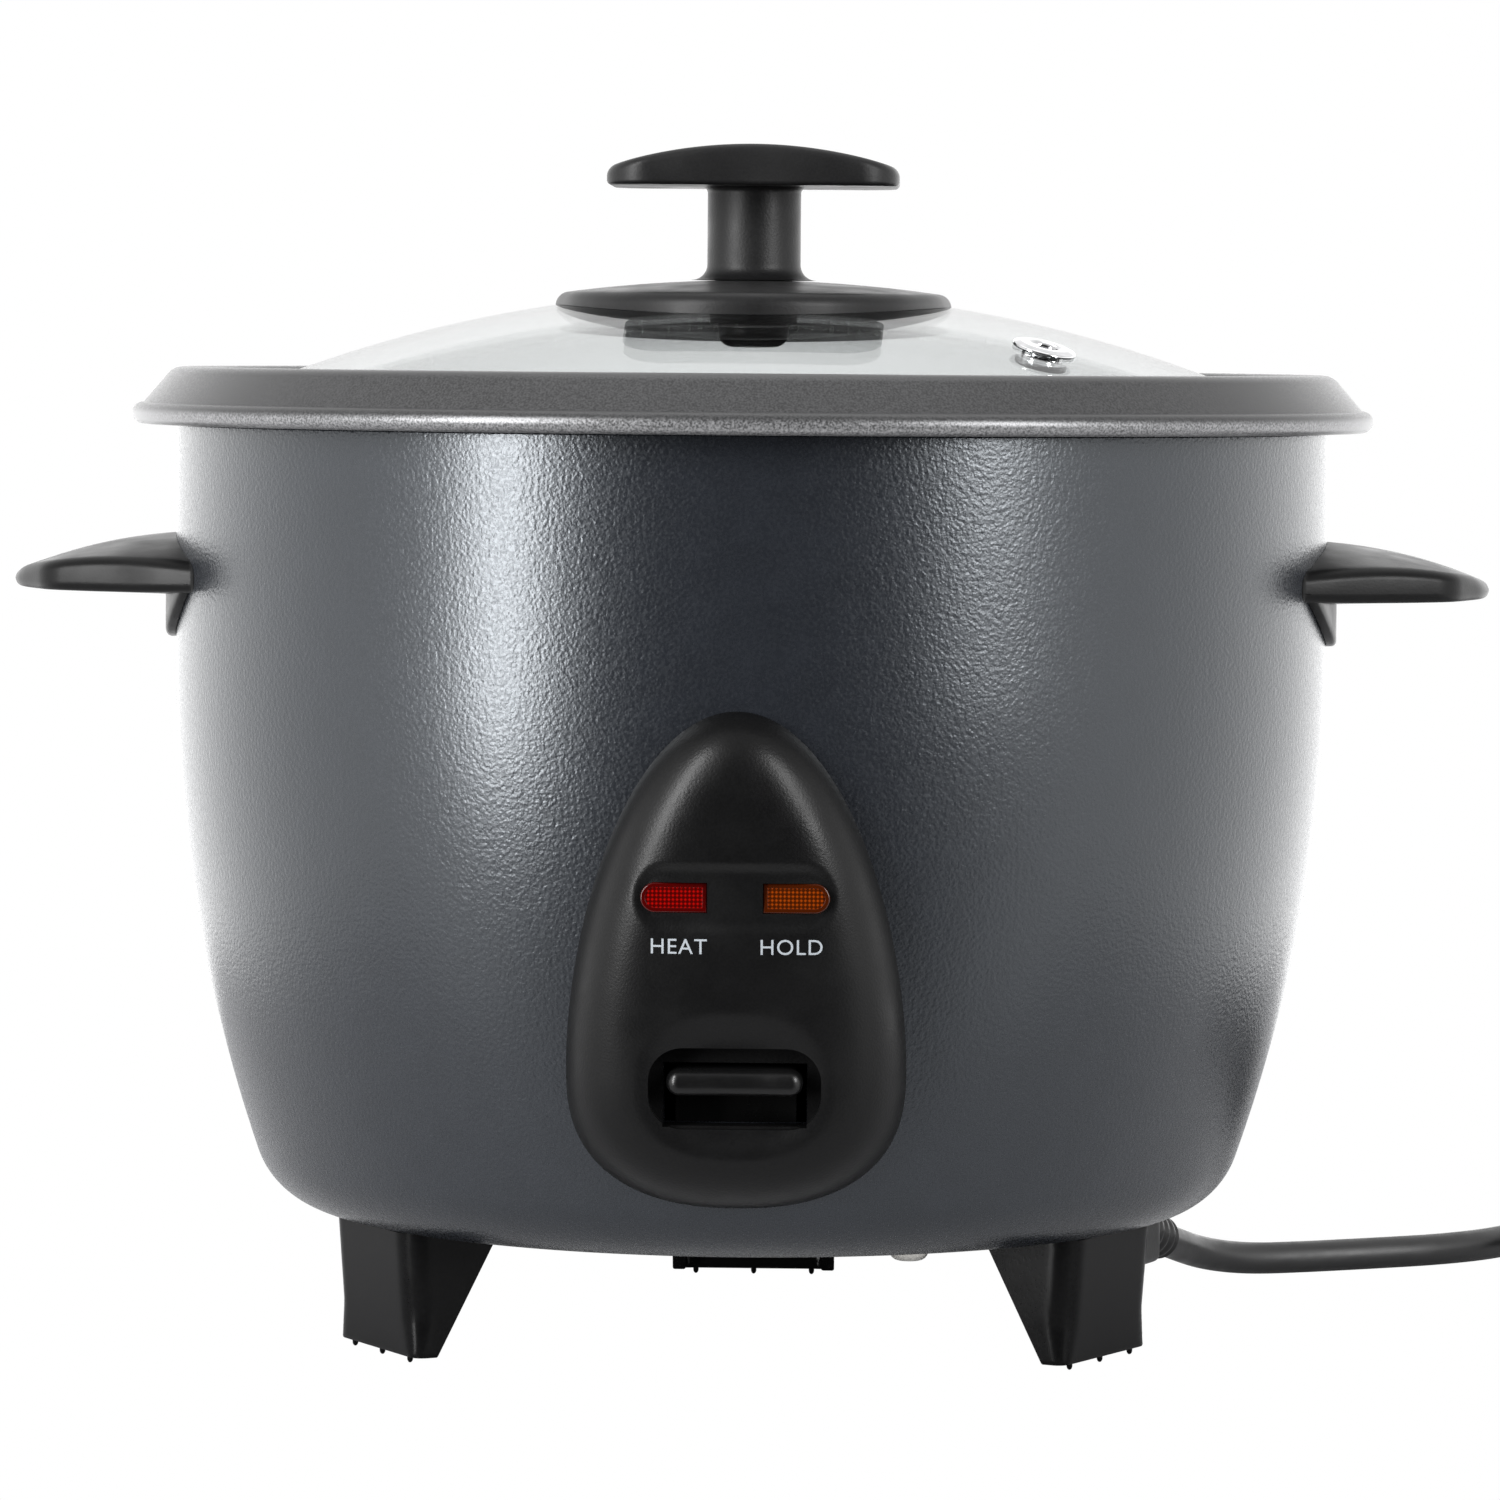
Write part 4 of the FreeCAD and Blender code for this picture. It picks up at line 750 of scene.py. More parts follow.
def finish(name):
    """A finish by name, made the first time it is asked for."""
    label = "finish_" + name
    if label in bpy.data.materials:
        return bpy.data.materials[label]
    if name in PLASTICS:
        return moulded(label, *PLASTICS[name])
    if name in METALS:
        return metal(label, *METALS[name])
    return FINISHES[name](label)


CAMERA = {"distance": 1.3, "height": 0.1885, "azimuth": radians(1.2), "tilt": radians(3.42),
          "roll": radians(0.47), "lens": 164.2, "sensor": 36.0}

# Place, aim height, width, height and power of the soft lights
LIGHTS = {
    "left_softbox": ((-1.08, -1.03, 0.51), 0.11, 0.36, 1.4, 49.0),
    "right_softbox": ((1.12, -1.05, 0.62), 0.12, 0.36, 0.9, 28.0),
    "top_softbox": ((0.0, 0.25, 1.6), 0.1, 1.2, 0.8, 4.0),
}

# Least and greatest x and y of the floor: nothing pale lies before the front
FLOOR = (-0.32, -0.16, 0.32, 0.42)
# Directions along an axis between which the sky changes, and its factor at both
SKY = (("Y", -0.92, -0.35, 0.03, 2.0), ("Y", 0.0, 0.9, 1.0, 1.35), ("Z", 0.12, 0.5, 1.0, 0.5))

# Route of the lead in millimetres, from the gland over the table to the coil
LEAD_ROUTE = (
    (81.0, 56.5, 11.0),
    (85.2, 66.0, 8.2),
    (91.4, 74.2, 5.3),
    (100.2, 80.9, 3.6),
    (111.4, 86.9, 3.3),
    (125.2, 93.2, 3.3),
    (139.8, 100.4, 3.3),
    (152.2, 110.8, 3.3),
    (160.2, 124.6, 3.3),
    (163.0, 140.2, 3.3),
)
# Rest of the lead from the coil's outer turn to the plug, in millimetres
TAIL_STEPS = ((0.8, -12.0, 9.4), (2.6, -24.0, 8.5))
COIL_TURNS = 3.5
COIL_POINTS = 24       # points a turn
# Turns at which the lead crosses in, climbs and crosses out again
CROSS_IN = (0.82, 0.97)
CLIMB = (1.66, 1.82)
CROSS_OUT = (2.52, 2.66)


class COOKER_OT_stage(bpy.types.Operator):
    """Pale floor, soft lights and the camera."""
    bl_idname = "cooker.stage"
    bl_label = "Stage"

    def execute(self, context):
        scene = context.scene
        scene.view_settings.view_transform = "Standard"
        scene.world = scene.world or bpy.data.worlds.new("studio")
        scene.world.use_nodes = True
        self.sky(scene.world.node_tree)
        self.floor(scene)
        self.lights(scene)
        self.camera(scene)
        return {"FINISHED"}

    def floor(self, scene):
        """Floor: one face under and behind the object."""
        x, y, far_x, far_y = FLOOR
        mesh = bpy.data.meshes.new("floor")
        mesh.from_pydata([(x, y, 0), (far_x, y, 0), (far_x, far_y, 0), (x, far_y, 0)], [], [(0, 1, 2, 3)])
        floor = bpy.data.objects.new("floor", mesh)
        scene.collection.objects.link(floor)
        mesh.materials.append(self.paper())

    def lights(self, scene):
        """Soft lights, each turned towards a height on the object's axis."""
        for name, (place, aim_z, width, height, power) in LIGHTS.items():
            light = bpy.data.lights.new(name, "AREA")
            light.shape = "RECTANGLE"
            light.size, light.size_y, light.energy = width, height, power
            lamp = bpy.data.objects.new(name, light)
            lamp.location = place
            away = lamp.location - Vector((0, 0, aim_z))
            lamp.rotation_euler = away.to_track_quat("Z", "Y").to_euler()
            scene.collection.objects.link(lamp)

    def camera(self, scene):
        """Camera: out from the axis by its distance, tilted down, and rolled about its view."""
        lens = bpy.data.cameras.new("camera")
        lens.lens = CAMERA["lens"]
        lens.sensor_width = CAMERA["sensor"]
        lens.clip_end = 50
        camera = bpy.data.objects.new("camera", lens)
        scene.collection.objects.link(camera)
        turn = CAMERA["azimuth"]
        camera.location = (CAMERA["distance"] * sin(turn), -CAMERA["distance"] * cos(turn), CAMERA["height"])
        look = Euler((pi / 2 - CAMERA["tilt"], 0, turn)).to_matrix()
        camera.rotation_euler = (look @ Matrix.Rotation(CAMERA["roll"], 3, "Z")).to_euler()
        scene.camera = camera

    def sky(self, tree):
        """White to the camera and through glass. To the object it is dark behind the camera, and white
        from the sides on."""
        nodes, links = tree.nodes, tree.links
        background = nodes["Background"]
        background.inputs["Strength"].default_value = 1.0
        apart = nodes.new("ShaderNodeSeparateXYZ")
        links.new(nodes.new("ShaderNodeTexCoord").outputs["Generated"], apart.inputs["Vector"])
        share = None
        for direction, *values in SKY:
            fade = nodes.new("ShaderNodeMapRange")
            fade.interpolation_type = "SMOOTHSTEP"
            for socket, value in zip(("From Min", "From Max", "To Min", "To Max"), values):
                fade.inputs[socket].default_value = value
            links.new(apart.outputs[direction], fade.inputs["Value"])
            share = self.joined(tree, "MULTIPLY", share, fade.outputs["Result"])
        ray = nodes.new("ShaderNodeLightPath")
        seen = None
        for kind in ("Is Camera Ray", "Is Transmission Ray", "Is Singular Ray"):
            seen = self.joined(tree, "MAXIMUM", seen, ray.outputs[kind])
        blend = nodes.new("ShaderNodeMix")
        blend.inputs["B"].default_value = 1.0
        links.new(seen, blend.inputs["Factor"])
        links.new(share, blend.inputs["A"])
        links.new(blend.outputs["Result"], background.inputs["Color"])

    def joined(self, tree, way, one, two):
        """Two sockets put through a function, or the second alone where there is no first."""
        if one is None:
            return two
        node = tree.nodes.new("ShaderNodeMath")
        node.operation = way
        tree.links.new(one, node.inputs[0])
        tree.links.new(two, node.inputs[1])
        return node.outputs["Value"]

    def paper(self):
        """Floor that looks pure white to the camera and reflects as pale paper."""
        pale = Finish("finish_floor", setting("colours").floor, 0.7)
        pale.rough(pale.grain(6, 2.0), 0.65, 0.75)
        white = pale.nodes.new("ShaderNodeEmission")
        mix = pale.nodes.new("ShaderNodeMixShader")
        pale.links.new(pale.nodes.new("ShaderNodeLightPath").outputs["Is Camera Ray"], mix.inputs["Fac"])
        pale.links.new(pale.shader.outputs["BSDF"], mix.inputs[1])
        pale.links.new(white.outputs["Emission"], mix.inputs[2])
        pale.links.new(mix.outputs["Shader"], pale.nodes["Material Output"].inputs["Surface"])
        return pale.material


def coil_middle(lead):
    """Middle of the coil on the table, where the route ends on the outer turn."""
    end = np.array(LEAD_ROUTE[-1]) * MM
    return end + np.array([lead.coil_r + lead.radius, 0, -end[2]])


def lead_points(lead):
    """Route, coil and tail as one line. Round the coil, radius and height are steps smoothed over each
    crossing: outer turn on the table, inner turn, inner turn above it, then half an outer turn above."""
    middle = coil_middle(lead)
    inner, outer = lead.coil_r - lead.radius, lead.coil_r + lead.radius
    low = LEAD_ROUTE[-1][2] * MM
    high = low + 2 * lead.radius
    turn = np.arange(1, int(COIL_TURNS * COIL_POINTS) + 1) / COIL_POINTS
    radius = np.interp(turn, CROSS_IN + CROSS_OUT, (outer, inner, inner, outer))
    height = np.interp(turn, CLIMB, (low, high))
    angle = pi - 2 * pi * turn
    coil = middle + np.stack([radius * np.cos(angle), radius * np.sin(angle), height], axis=1)
    tail = middle + np.array([[outer, 0, 0]]) + np.array(TAIL_STEPS) * MM
    return np.vstack([np.array(LEAD_ROUTE) * MM, coil, tail])


class COOKER_OT_lead(bpy.types.Operator):
    """Mains lead over the table into a tied coil, with its gland and plug."""
    bl_idname = "cooker.lead"
    bl_label = "Mains lead"

    def execute(self, context):
        lead = setting("lead")
        points = lead_points(lead)
        curve = bpy.data.curves.new("mains_lead", "CURVE")
        curve.dimensions = "3D"
        curve.bevel_depth = lead.radius
        curve.bevel_resolution = 5
        curve.resolution_u = 6
        curve.use_fill_caps = True
        spline = curve.splines.new("NURBS")
        spline.points.add(len(points) - 1)
        spline.points.foreach_set("co", np.hstack([points, np.ones((len(points), 1))]).ravel())
        spline.order_u = 3
        spline.use_endpoint_u = True
        spline.use_smooth = True
        flex = bpy.data.objects.new("mains_lead", curve)
        context.scene.collection.objects.link(flex)
        placed(flex, "housing", finish("cord_rubber"), ("power_cord", "cord_coil"))
        plug, pins = self.plug(lead, points)
        tie = self.tie(lead)
        self.gland(lead)
        return {"FINISHED"}

    def plug(self, lead, points):
        """Plug: rings inside a rounded plan for its body, and a ribbed neck and two pins turned about
        their axes."""
        way = points[-1] - points[-2]
        level = np.array([way[0], way[1], 0]) / np.hypot(way[0], way[1])
        aside = np.array([-level[1], level[0], 0])
        at = points[-1]
        middle = at + level * (lead.neck_l + lead.plug_l / 2)
        front, wide = lead.plug_l / 2, lead.plug_w / 2
        narrow, waist = 0.62 * wide, 0.1 * front
        plan = eased([(-front, -narrow), (waist, -wide), (front, -wide),
                      (front, wide), (waist, wide), (-front, narrow)],
                     lead.plug_corner * np.array([1, 2, 0.3, 0.3, 2, 1]))
        flat = pillow(evenly(plan, 160), lead.plug_edge, 0, lead.plug_h, 0.9 * MM)
        grid = flat[..., :1] * level + flat[..., 1:2] * aside + np.array([middle[0], middle[1], 0])
        grid[..., 2] = flat[..., 2]
        reach = np.linspace(0, 1.15 * lead.neck_l, 70)
        rib, pitch = 0.35 * MM, 3.2 * MM
        ribs = rib * np.cos(2 * pi * reach / pitch)
        radius = lead.radius + 0.9 * MM + 1.3 * MM * reach / lead.neck_l
        radius = radius + np.where(reach < 0.9 * lead.neck_l, ribs, 0)
        neck = np.vstack([[0, 0], np.stack([radius, reach], axis=1), [0, reach[-1]]])
        body = combined(mesh_of("plug", [closed_form(grid)]), [turned_along(neck, level, at)], "UNION")
        placed(body, "housing", finish("plug_plastic"), ("plug_body",))
        face = at + level * (lead.neck_l + lead.plug_l)
        face[2] = lead.plug_h / 2
        pin = path((0, 0), (1, 0), ("line", lead.pin_r, 0), ("line", lead.pin_r, lead.pin_l - 1.6 * MM),
                   ("bend", lead.pin_r * 0.45, lead.pin_l), ("line", 0, lead.pin_l))
        pair = [turned_along(pin, level, face + aside * side * lead.pin_pitch) for side in (-0.5, 0.5)]
        pins = mesh_of("plug_pin_pair", pair)
        placed(pins, "housing", finish("bright_chrome"), ("plug_pins",))
        return body, pins

    def tie(self, lead):
        """Band round the coil's bundle: a flat section carried round a rounded square."""
        middle = coil_middle(lead)
        reach = 2 * lead.radius
        thick, width = 0.7 * MM, 4.5 * MM
        loop = evenly(eased(rectangle(reach, reach), lead.radius), 96)
        out = -left_of(loop, closed=True)
        side, inside = width / 2, -0.4 * MM
        across = eased([(-side, inside), (side, inside), (side, thick), (-side, thick)], 0.25 * MM)
        low = LEAD_ROUTE[-1][2] * MM + lead.radius
        ring = loop[None] + across[:, 1][:, None, None] * out[None]
        height = np.maximum(ring[..., 1] + low, TOUCH)
        grid = np.stack([across[:, :1] + 0 * height, lead.coil_r + ring[..., 0], height], axis=-1)
        grid = grid + np.array([middle[0], middle[1], 0])
        band = mesh_of("coil_tie", [closed_form(grid, close_rows=True)])
        return placed(band, "housing", finish("plug_plastic"))

    def gland(self, lead):
        """Gland: a block of rounded rings under the base and a boot whose radius ripples as it tapers."""
        tip = np.array(LEAD_ROUTE[0]) * MM
        way = np.array(LEAD_ROUTE[1]) * MM - tip
        way = way / np.linalg.norm(way)
        root = tip - way * lead.gland_l
        reach = np.linspace(0, lead.gland_l, 90)
        taper = lead.gland_root + (lead.gland_tip - lead.gland_root) * reach / lead.gland_l
        rib, pitch = 0.3 * MM, 3.4 * MM
        ribs = np.where(reach > 0.35 * lead.gland_l, rib * np.cos(2 * pi * reach / pitch), 0)
        end = lead.gland_l + 0.4 * MM
        section = np.vstack([[0, 0], np.stack([taper + ribs - rib, reach], axis=1),
                             [lead.gland_tip - 1.0 * MM, end], [0, end]])
        half = lead.gland_block / 2
        plan = evenly(eased(rectangle(half, half), half * 0.5), 96)
        top = setting("body").base_z
        block = pillow(plan, 1.5 * MM, top - lead.gland_h, top - TOUCH, 0)
        block = spun(block, atan2(way[1], way[0])) + np.array([root[0], root[1], 0])
        piece = mesh_of("lead_gland", [closed_form(block)])
        combined(piece, [turned_along(section, way, root)], "UNION")
        return placed(piece, "housing", finish("plug_plastic"), ("cord_gland",))


def taper_radius(body):
    """Radius of the arc that the tapering wall follows."""
    drop = body.straight_z - body.waist_z
    return (drop ** 2 + (body.radius - body.waist_r) ** 2) / (2 * (body.radius - body.waist_r))


def wall_radius(body, z):
    """Outside radius of the body at heights above its waist."""
    bend = taper_radius(body)
    down = np.maximum(body.straight_z - z, 0)
    return body.radius - bend + np.sqrt(bend ** 2 - down ** 2)


def body_line(body, off):
    """Section of the body from the ledge's inner edge down to the lip's inner edge, grown by an offset."""
    bend = taper_radius(body)
    lean = atan2(body.straight_z - body.waist_z, bend - body.radius + body.waist_r)
    low = (body.radius - bend + (bend + off) * cos(lean), body.straight_z - (bend + off) * sin(lean))
    r, top = body.radius + off, body.ledge_z + off
    return path((body.ledge_r, top), (1, 0), ("line", r - body.edge, top), ("bend", r, top - body.edge),
                ("line", r, body.straight_z), ("bend", *low), ("bend", body.base_r, body.base_z - off),
                ("line", body.base_r - body.lip_w, body.base_z - off))


def upright_box(low, high):
    """Closed box between two corners."""
    corners = np.array([(x, y, z) for z in (low[2], high[2]) for x, y in
                        ((low[0], low[1]), (high[0], low[1]), (high[0], high[1]), (low[0], high[1]))])
    quads = np.array([(3, 2, 1, 0), (4, 5, 6, 7), (0, 1, 5, 4), (1, 2, 6, 5), (2, 3, 7, 6), (3, 0, 4, 7)])
    return corners, outward(corners, quads)


LEVER_PRESS = 5.0 * MM    # downward travel of the lever's paddle


def lever_way(panel, body, room):
    """Box through wall and panel in which the lever's paddle moves, with room round it."""
    half_w, half_h = panel.paddle_w / 2 + room, panel.paddle_t / 2 + room
    return upright_box((-half_w, -body.radius, panel.paddle_z - half_h - LEVER_PRESS),
                       (half_w, -body.waist_r, panel.paddle_z + half_h))


class COOKER_OT_body(bpy.types.Operator):
    """Painted shell, liner, heater and sensor cap, all turned about the body's axis."""
    bl_idname = "cooker.body"
    bl_label = "Body"

    def execute(self, context):
        body = setting("body")
        self.shell(body)
        self.liner(body)
        self.heater(body)
        self.sensor(body)
        return {"FINISHED"}

    def shell(self, body):
        """Shell: the body's section and its offset by the sheet, turned, with a way cut for the lever."""
        section = np.vstack([body_line(body, 0), body_line(body, -body.sheet)[::-1]])
        shell = mesh_of("painted_shell", [closed_form(turned(section), close_rows=True)])
        combined(shell, [lever_way(setting("panel"), body, 0.6 * MM)], "DIFFERENCE")
        placed(shell, "housing", finish("shell_paint"), ("outer_shell",))

    def liner(self, body):
        """Liner: a can with a flange above and a hole in its floor, thickened by the sheet and turned."""
        flange, bend = body.ledge_z - body.sheet, 1.5 * MM
        can = path((body.ledge_r + body.flange_w, flange), (-1, 0), ("line", body.ledge_r + bend, flange),
                   ("bend", body.ledge_r, flange - bend),
                   ("line", body.ledge_r, body.floor_z + body.floor_round),
                   ("bend", body.ledge_r - body.floor_round, body.floor_z),
                   ("line", body.floor_hole, body.floor_z))
        liner = mesh_of("steel_liner", [closed_form(turned(thickened(can, body.sheet)), close_rows=True)])
        placed(liner, "housing", finish("sheet_steel"), ("heat_shield",))

    def heater(self, body):
        """Heater: a disc with rounded edges, turned, whose top ripples by a cosine as a lathe leaves it."""
        hole, edge, ripple, pitch = body.cup_r + 0.6 * MM, 1.6 * MM, 0.04 * MM, 2 * MM
        r = np.linspace(body.heater_r - edge, hole + 1.0 * MM, 150)
        face = np.stack([r, body.heater_top - ripple * (1 - np.cos(2 * pi * r / pitch))], axis=1)
        side = eased([(hole, body.heater_low), (body.heater_r, body.heater_low),
                      (body.heater_r, body.heater_top)], (0, edge, 0), closed=False)
        shoulder = arc(np.array([body.heater_r, body.heater_top - edge]), np.array([0.0, 1.0]),
                       np.array([body.heater_r - edge, body.heater_top]))
        cast = np.vstack([side[:-1], shoulder, face[1:], [(hole, body.heater_top - 1.0 * MM)]])
        heater = mesh_of("cast_heater", [closed_form(turned(cast), close_rows=True)])
        placed(heater, "housing", finish("cast_aluminium"), ("heater_plate",))

    def sensor(self, body):
        """Sensor cap: a cup's section with a rounded shoulder, turned."""
        top, inner, edge = body.heater_top - body.cup_drop, body.cup_r - body.cup_wall, 1.2 * MM
        shoulder = arc(np.array([body.cup_r - edge, top]), np.array([1.0, 0.0]),
                       np.array([body.cup_r, top - edge]))
        cap = np.vstack([[(0, top)], shoulder, [(body.cup_r, top - body.cup_h), (inner, top - body.cup_h),
                                                (inner, top - body.cup_t), (0, top - body.cup_t)]])
        sensor = mesh_of("sensor_cap", [closed_form(turned(cap, SMALL_TURN_STEPS))])
        placed(sensor, "sensor", finish("cast_aluminium"), ("thermostat_cup",))


class COOKER_OT_pot(bpy.types.Operator):
    """Lift-out pot: a drawn wall, a flat ring for the lid, a ridged brim and a rolled edge."""
    bl_idname = "cooker.pot"
    bl_label = "Pot"

    def execute(self, context):
        pot, body = setting("pot"), setting("body")
        low, bend = pot.seat_z - pot.wall, 1.0 * MM
        seat_r = pot.radius - pot.wall + pot.seat_w
        crest = pot.ridge_z - pot.wall - pot.ridge_round / 2
        under = path((0, body.heater_top), (1, 0), ("line", pot.radius - pot.corner, body.heater_top),
                     ("bend", pot.radius, body.heater_top + pot.corner), ("line", pot.radius, low - bend),
                     ("bend", pot.radius + bend, low), ("line", seat_r - bend, low),
                     ("bend", seat_r - 0.1 * MM, low + 0.6 * MM),
                     ("line", pot.ridge_r - pot.ridge_round, crest),
                     ("bend", pot.ridge_r + pot.ridge_round, crest))
        over = under + left_of(under) * pot.wall
        bead = np.array([pot.bead_r, pot.bead_z])
        way = (bead - under[-1]) / np.linalg.norm(bead - under[-1])
        side = np.array([-way[1], way[0]])
        # The rolled edge leaves the brim's underside, goes round below and outside, and ends on its top
        angle = np.linspace(pi, 2 * pi + pi - np.arcsin(pot.wall / pot.bead), 6 * ARC_STEPS)[:, None]
        roll = bead + pot.bead * (way * np.cos(angle) + side * np.sin(angle))
        section = np.vstack([under, roll, over[::-1]])
        section[-1, 0] = 0
        vessel = mesh_of("cooking_pot", [closed_form(turned(section))])
        x, y, z = places_of(vessel.data).T
        # Share of the lighter colour: the outer, lower side of the rolled edge
        out = np.clip((np.hypot(x, y) - pot.bead_r + 1.9 * MM) / (0.6 * MM), 0, 1)
        below = np.clip((pot.bead_z + 1.0 * MM - z) / (0.9 * MM), 0, 1)
        mark(vessel.data, "lighter_bead_band", out * below)
        placed(vessel, "pot", finish("pot_coat"), ("inner_pot",))
        return {"FINISHED"}


def dome_height(lid, r, sphere):
    """Height of a sphere about the dome's middle at a radius."""
    return lid.top_z - lid.dome_r + np.sqrt(sphere ** 2 - r ** 2)


class COOKER_OT_lid(bpy.types.Operator):
    """Domed glass with its steel band, steam vent and T-shaped knob."""
    bl_idname = "cooker.lid"
    bl_label = "Lid"

    def execute(self, context):
        lid, pot = setting("lid"), setting("pot")
        vent_z = dome_height(lid, np.hypot(lid.vent_x, lid.vent_y), lid.dome_r)
        at = np.array([lid.vent_x, lid.vent_y, vent_z])
        normal = at - np.array([0, 0, lid.top_z - lid.dome_r])
        self.glass(lid, at, normal)
        self.band(lid, pot)
        self.vent(lid, at, normal)
        self.plate(lid)
        self.grip(lid)
        return {"FINISHED"}

    def glass(self, lid, at, normal):
        """Glass: the section between two spheres about one middle, with half an ellipse round its edge,
        turned and drilled for the vent."""
        hole, edge_w = 2.55 * MM, 0.8 * MM
        r = np.linspace(hole, lid.glass_r - edge_w, 90)
        outside = np.stack([r, dome_height(lid, r, lid.dome_r)], axis=1)
        inside = np.stack([r, dome_height(lid, r, lid.dome_r - lid.glass_t)], axis=1)
        lean = np.linspace(pi / 2, -pi / 2, 2 * ARC_STEPS)
        middle = (outside[-1] + inside[-1]) / 2
        edge = middle + np.stack([edge_w * np.cos(lean), lid.glass_t / 2 * np.sin(lean)], axis=1)
        section = np.vstack([outside[:-1], edge, inside[:-1][::-1]])
        glass = mesh_of("dome_glass", [closed_form(turned(section), close_rows=True)])
        drill = rod_section(lid.vent_neck + TOUCH, -2 * lid.glass_t, lid.glass_t)
        combined(glass, [turned_along(drill, normal, at)], "DIFFERENCE")
        placed(glass, "lid", finish("lid_glass"), ("lid_glass",))

    def band(self, lid, pot):
        """Steel band: a C section round the glass's edge, turned about the axis."""
        inner, edge = lid.band_r - lid.band_w, lid.glass_r + TOUCH
        cap, over = lid.dome_r + lid.band_t, lid.dome_r + TOUCH
        under = lid.dome_r - lid.glass_t - TOUCH
        turns = ((lid.band_r, cap), (inner, cap), (inner, over), (edge, over), (edge, under), (inner, under))
        corners = [(inner, pot.seat_z), (lid.band_r, pot.seat_z)]
        corners += [(r, dome_height(lid, r, sphere)) for r, sphere in turns]
        section = eased(corners, np.array([0.4, 0.6, 1.0, 0.25, 0.2, 0.1, 0.1, 0.2]) * MM)
        band = mesh_of("lid_band", [closed_form(turned(section), close_rows=True)])
        placed(band, "lid", finish("rim_steel"), ("lid_rim",))

    def vent(self, lid, at, normal):
        """Vent: an eyelet's section turned about the dome's normal."""
        low = -lid.glass_t - 3 * TOUCH
        foot, small = low - lid.vent_t, lid.vent_r - lid.vent_t
        corners = [(lid.vent_bore, foot), (small, foot), (small, low), (lid.vent_neck, low),
                   (lid.vent_neck, TOUCH), (lid.vent_r, TOUCH), (lid.vent_r, 0.6 * lid.vent_t),
                   (lid.vent_r - 1.4 * MM, lid.vent_t), (lid.vent_bore, lid.vent_t)]
        section = eased(corners, np.array([0.3, 0.3, 0.2, 0.1, 0.1, 0.25, 0.5, 0.8, 1.1]) * MM)
        eyelet = mesh_of("steam_vent", [turned_along(section, normal, at, close_rows=True)])
        placed(eyelet, "lid", finish("bright_chrome"), ("vent_eyelet",))

    def plate(self, lid):
        """Knob's plate: rings inside an ellipse, on the dome below and on two parabolas above."""
        angle = np.linspace(0, 2 * pi, 200, endpoint=False)
        oval = np.stack([lid.plate_x / 2 * np.cos(angle), lid.plate_y / 2 * np.sin(angle)], axis=1)
        edge = lid.plate_edge
        fills = np.linspace(0.06, 0.93, 14)
        rings = inset_rings(oval, edge * (1 - np.cos(QUARTER)), fills, (0, 0))
        rise = edge * edge_rise(fills)[:, None]
        x, y = rings[..., 0], rings[..., 1]
        crown = x ** 2 / (2 * lid.plate_crown_x) + y ** 2 / (2 * lid.plate_crown_y)
        top = lid.top_z + lid.plate_t - crown - edge + rise
        base = dome_height(lid, np.hypot(x, y), lid.dome_r + TOUCH)
        grid = np.concatenate([raised(rings, base)[::-1], raised(rings, top)])
        plate = mesh_of("knob_plate", [closed_form(grid, close_rows=True)])
        placed(plate, "lid", finish("knob_plastic"), ("knob_base",))

    def grip(self, lid):
        """T grip: a turned stem whose rings grow into the bar's rounded outline. The bar's top follows an
        arc across."""
        half_x, half_y = lid.grip_x / 2, lid.grip_y / 2
        outline = evenly(eased(rectangle(half_x, half_y), lid.grip_corner), 288)
        around = outline / np.linalg.norm(outline, axis=1, keepdims=True)
        foot_z = lid.top_z + lid.plate_t
        low = foot_z + lid.stem_h
        neck = 1.2 * MM
        flare = arc(np.array([lid.stem_r + lid.stem_foot, foot_z]), np.array([-1.0, 0.0]),
                    np.array([lid.stem_r, foot_z + lid.stem_foot]))
        collar = arc(np.array([lid.stem_r, low - neck]), np.array([0.0, 1.0]),
                     np.array([lid.stem_r + neck, low]))
        foot, waist = (lid.stem_r + lid.stem_foot, foot_z), (lid.stem_r, low - neck)
        profile = np.vstack([[foot], flare, [waist], collar])
        stem = raised(profile[:, :1, None] * around[None], profile[:, 1:])
        low_edge, edge = 0.9 * MM, lid.grip_edge
        under = inset_rings(outline, low_edge * (1 - np.sin(QUARTER)), (), (0, 0))
        spread = np.linspace(0, 1, 8)[1:-1, None, None]
        flat = stem[-1:, :, :2] * (1 - spread) + under[:1] * spread
        side_z = np.concatenate([np.full(len(flat), low), low + low_edge * (1 - np.cos(QUARTER))])
        sides = raised(np.concatenate([flat, under]), side_z[:, None])
        fills = np.linspace(0.07, 1, 16)
        upper = inset_rings(outline, edge * (1 - np.cos(QUARTER)), fills, (0, 0))
        sag = lid.grip_h - lid.grip_end
        crown = (half_x ** 2 + sag ** 2) / (2 * sag)
        arch = np.sqrt(crown ** 2 - upper[..., 0] ** 2) - crown
        top = low + lid.grip_h + arch - edge + edge * edge_rise(fills)[:, None]
        grid = np.concatenate([stem, sides, raised(upper, top)])
        first = grid[:1].copy()
        first[..., :2] = 0
        grip = mesh_of("knob_t_grip", [closed_form(np.concatenate([first, grid]))])
        placed(grip, "lid", finish("knob_plastic"), ("knob_grip",))


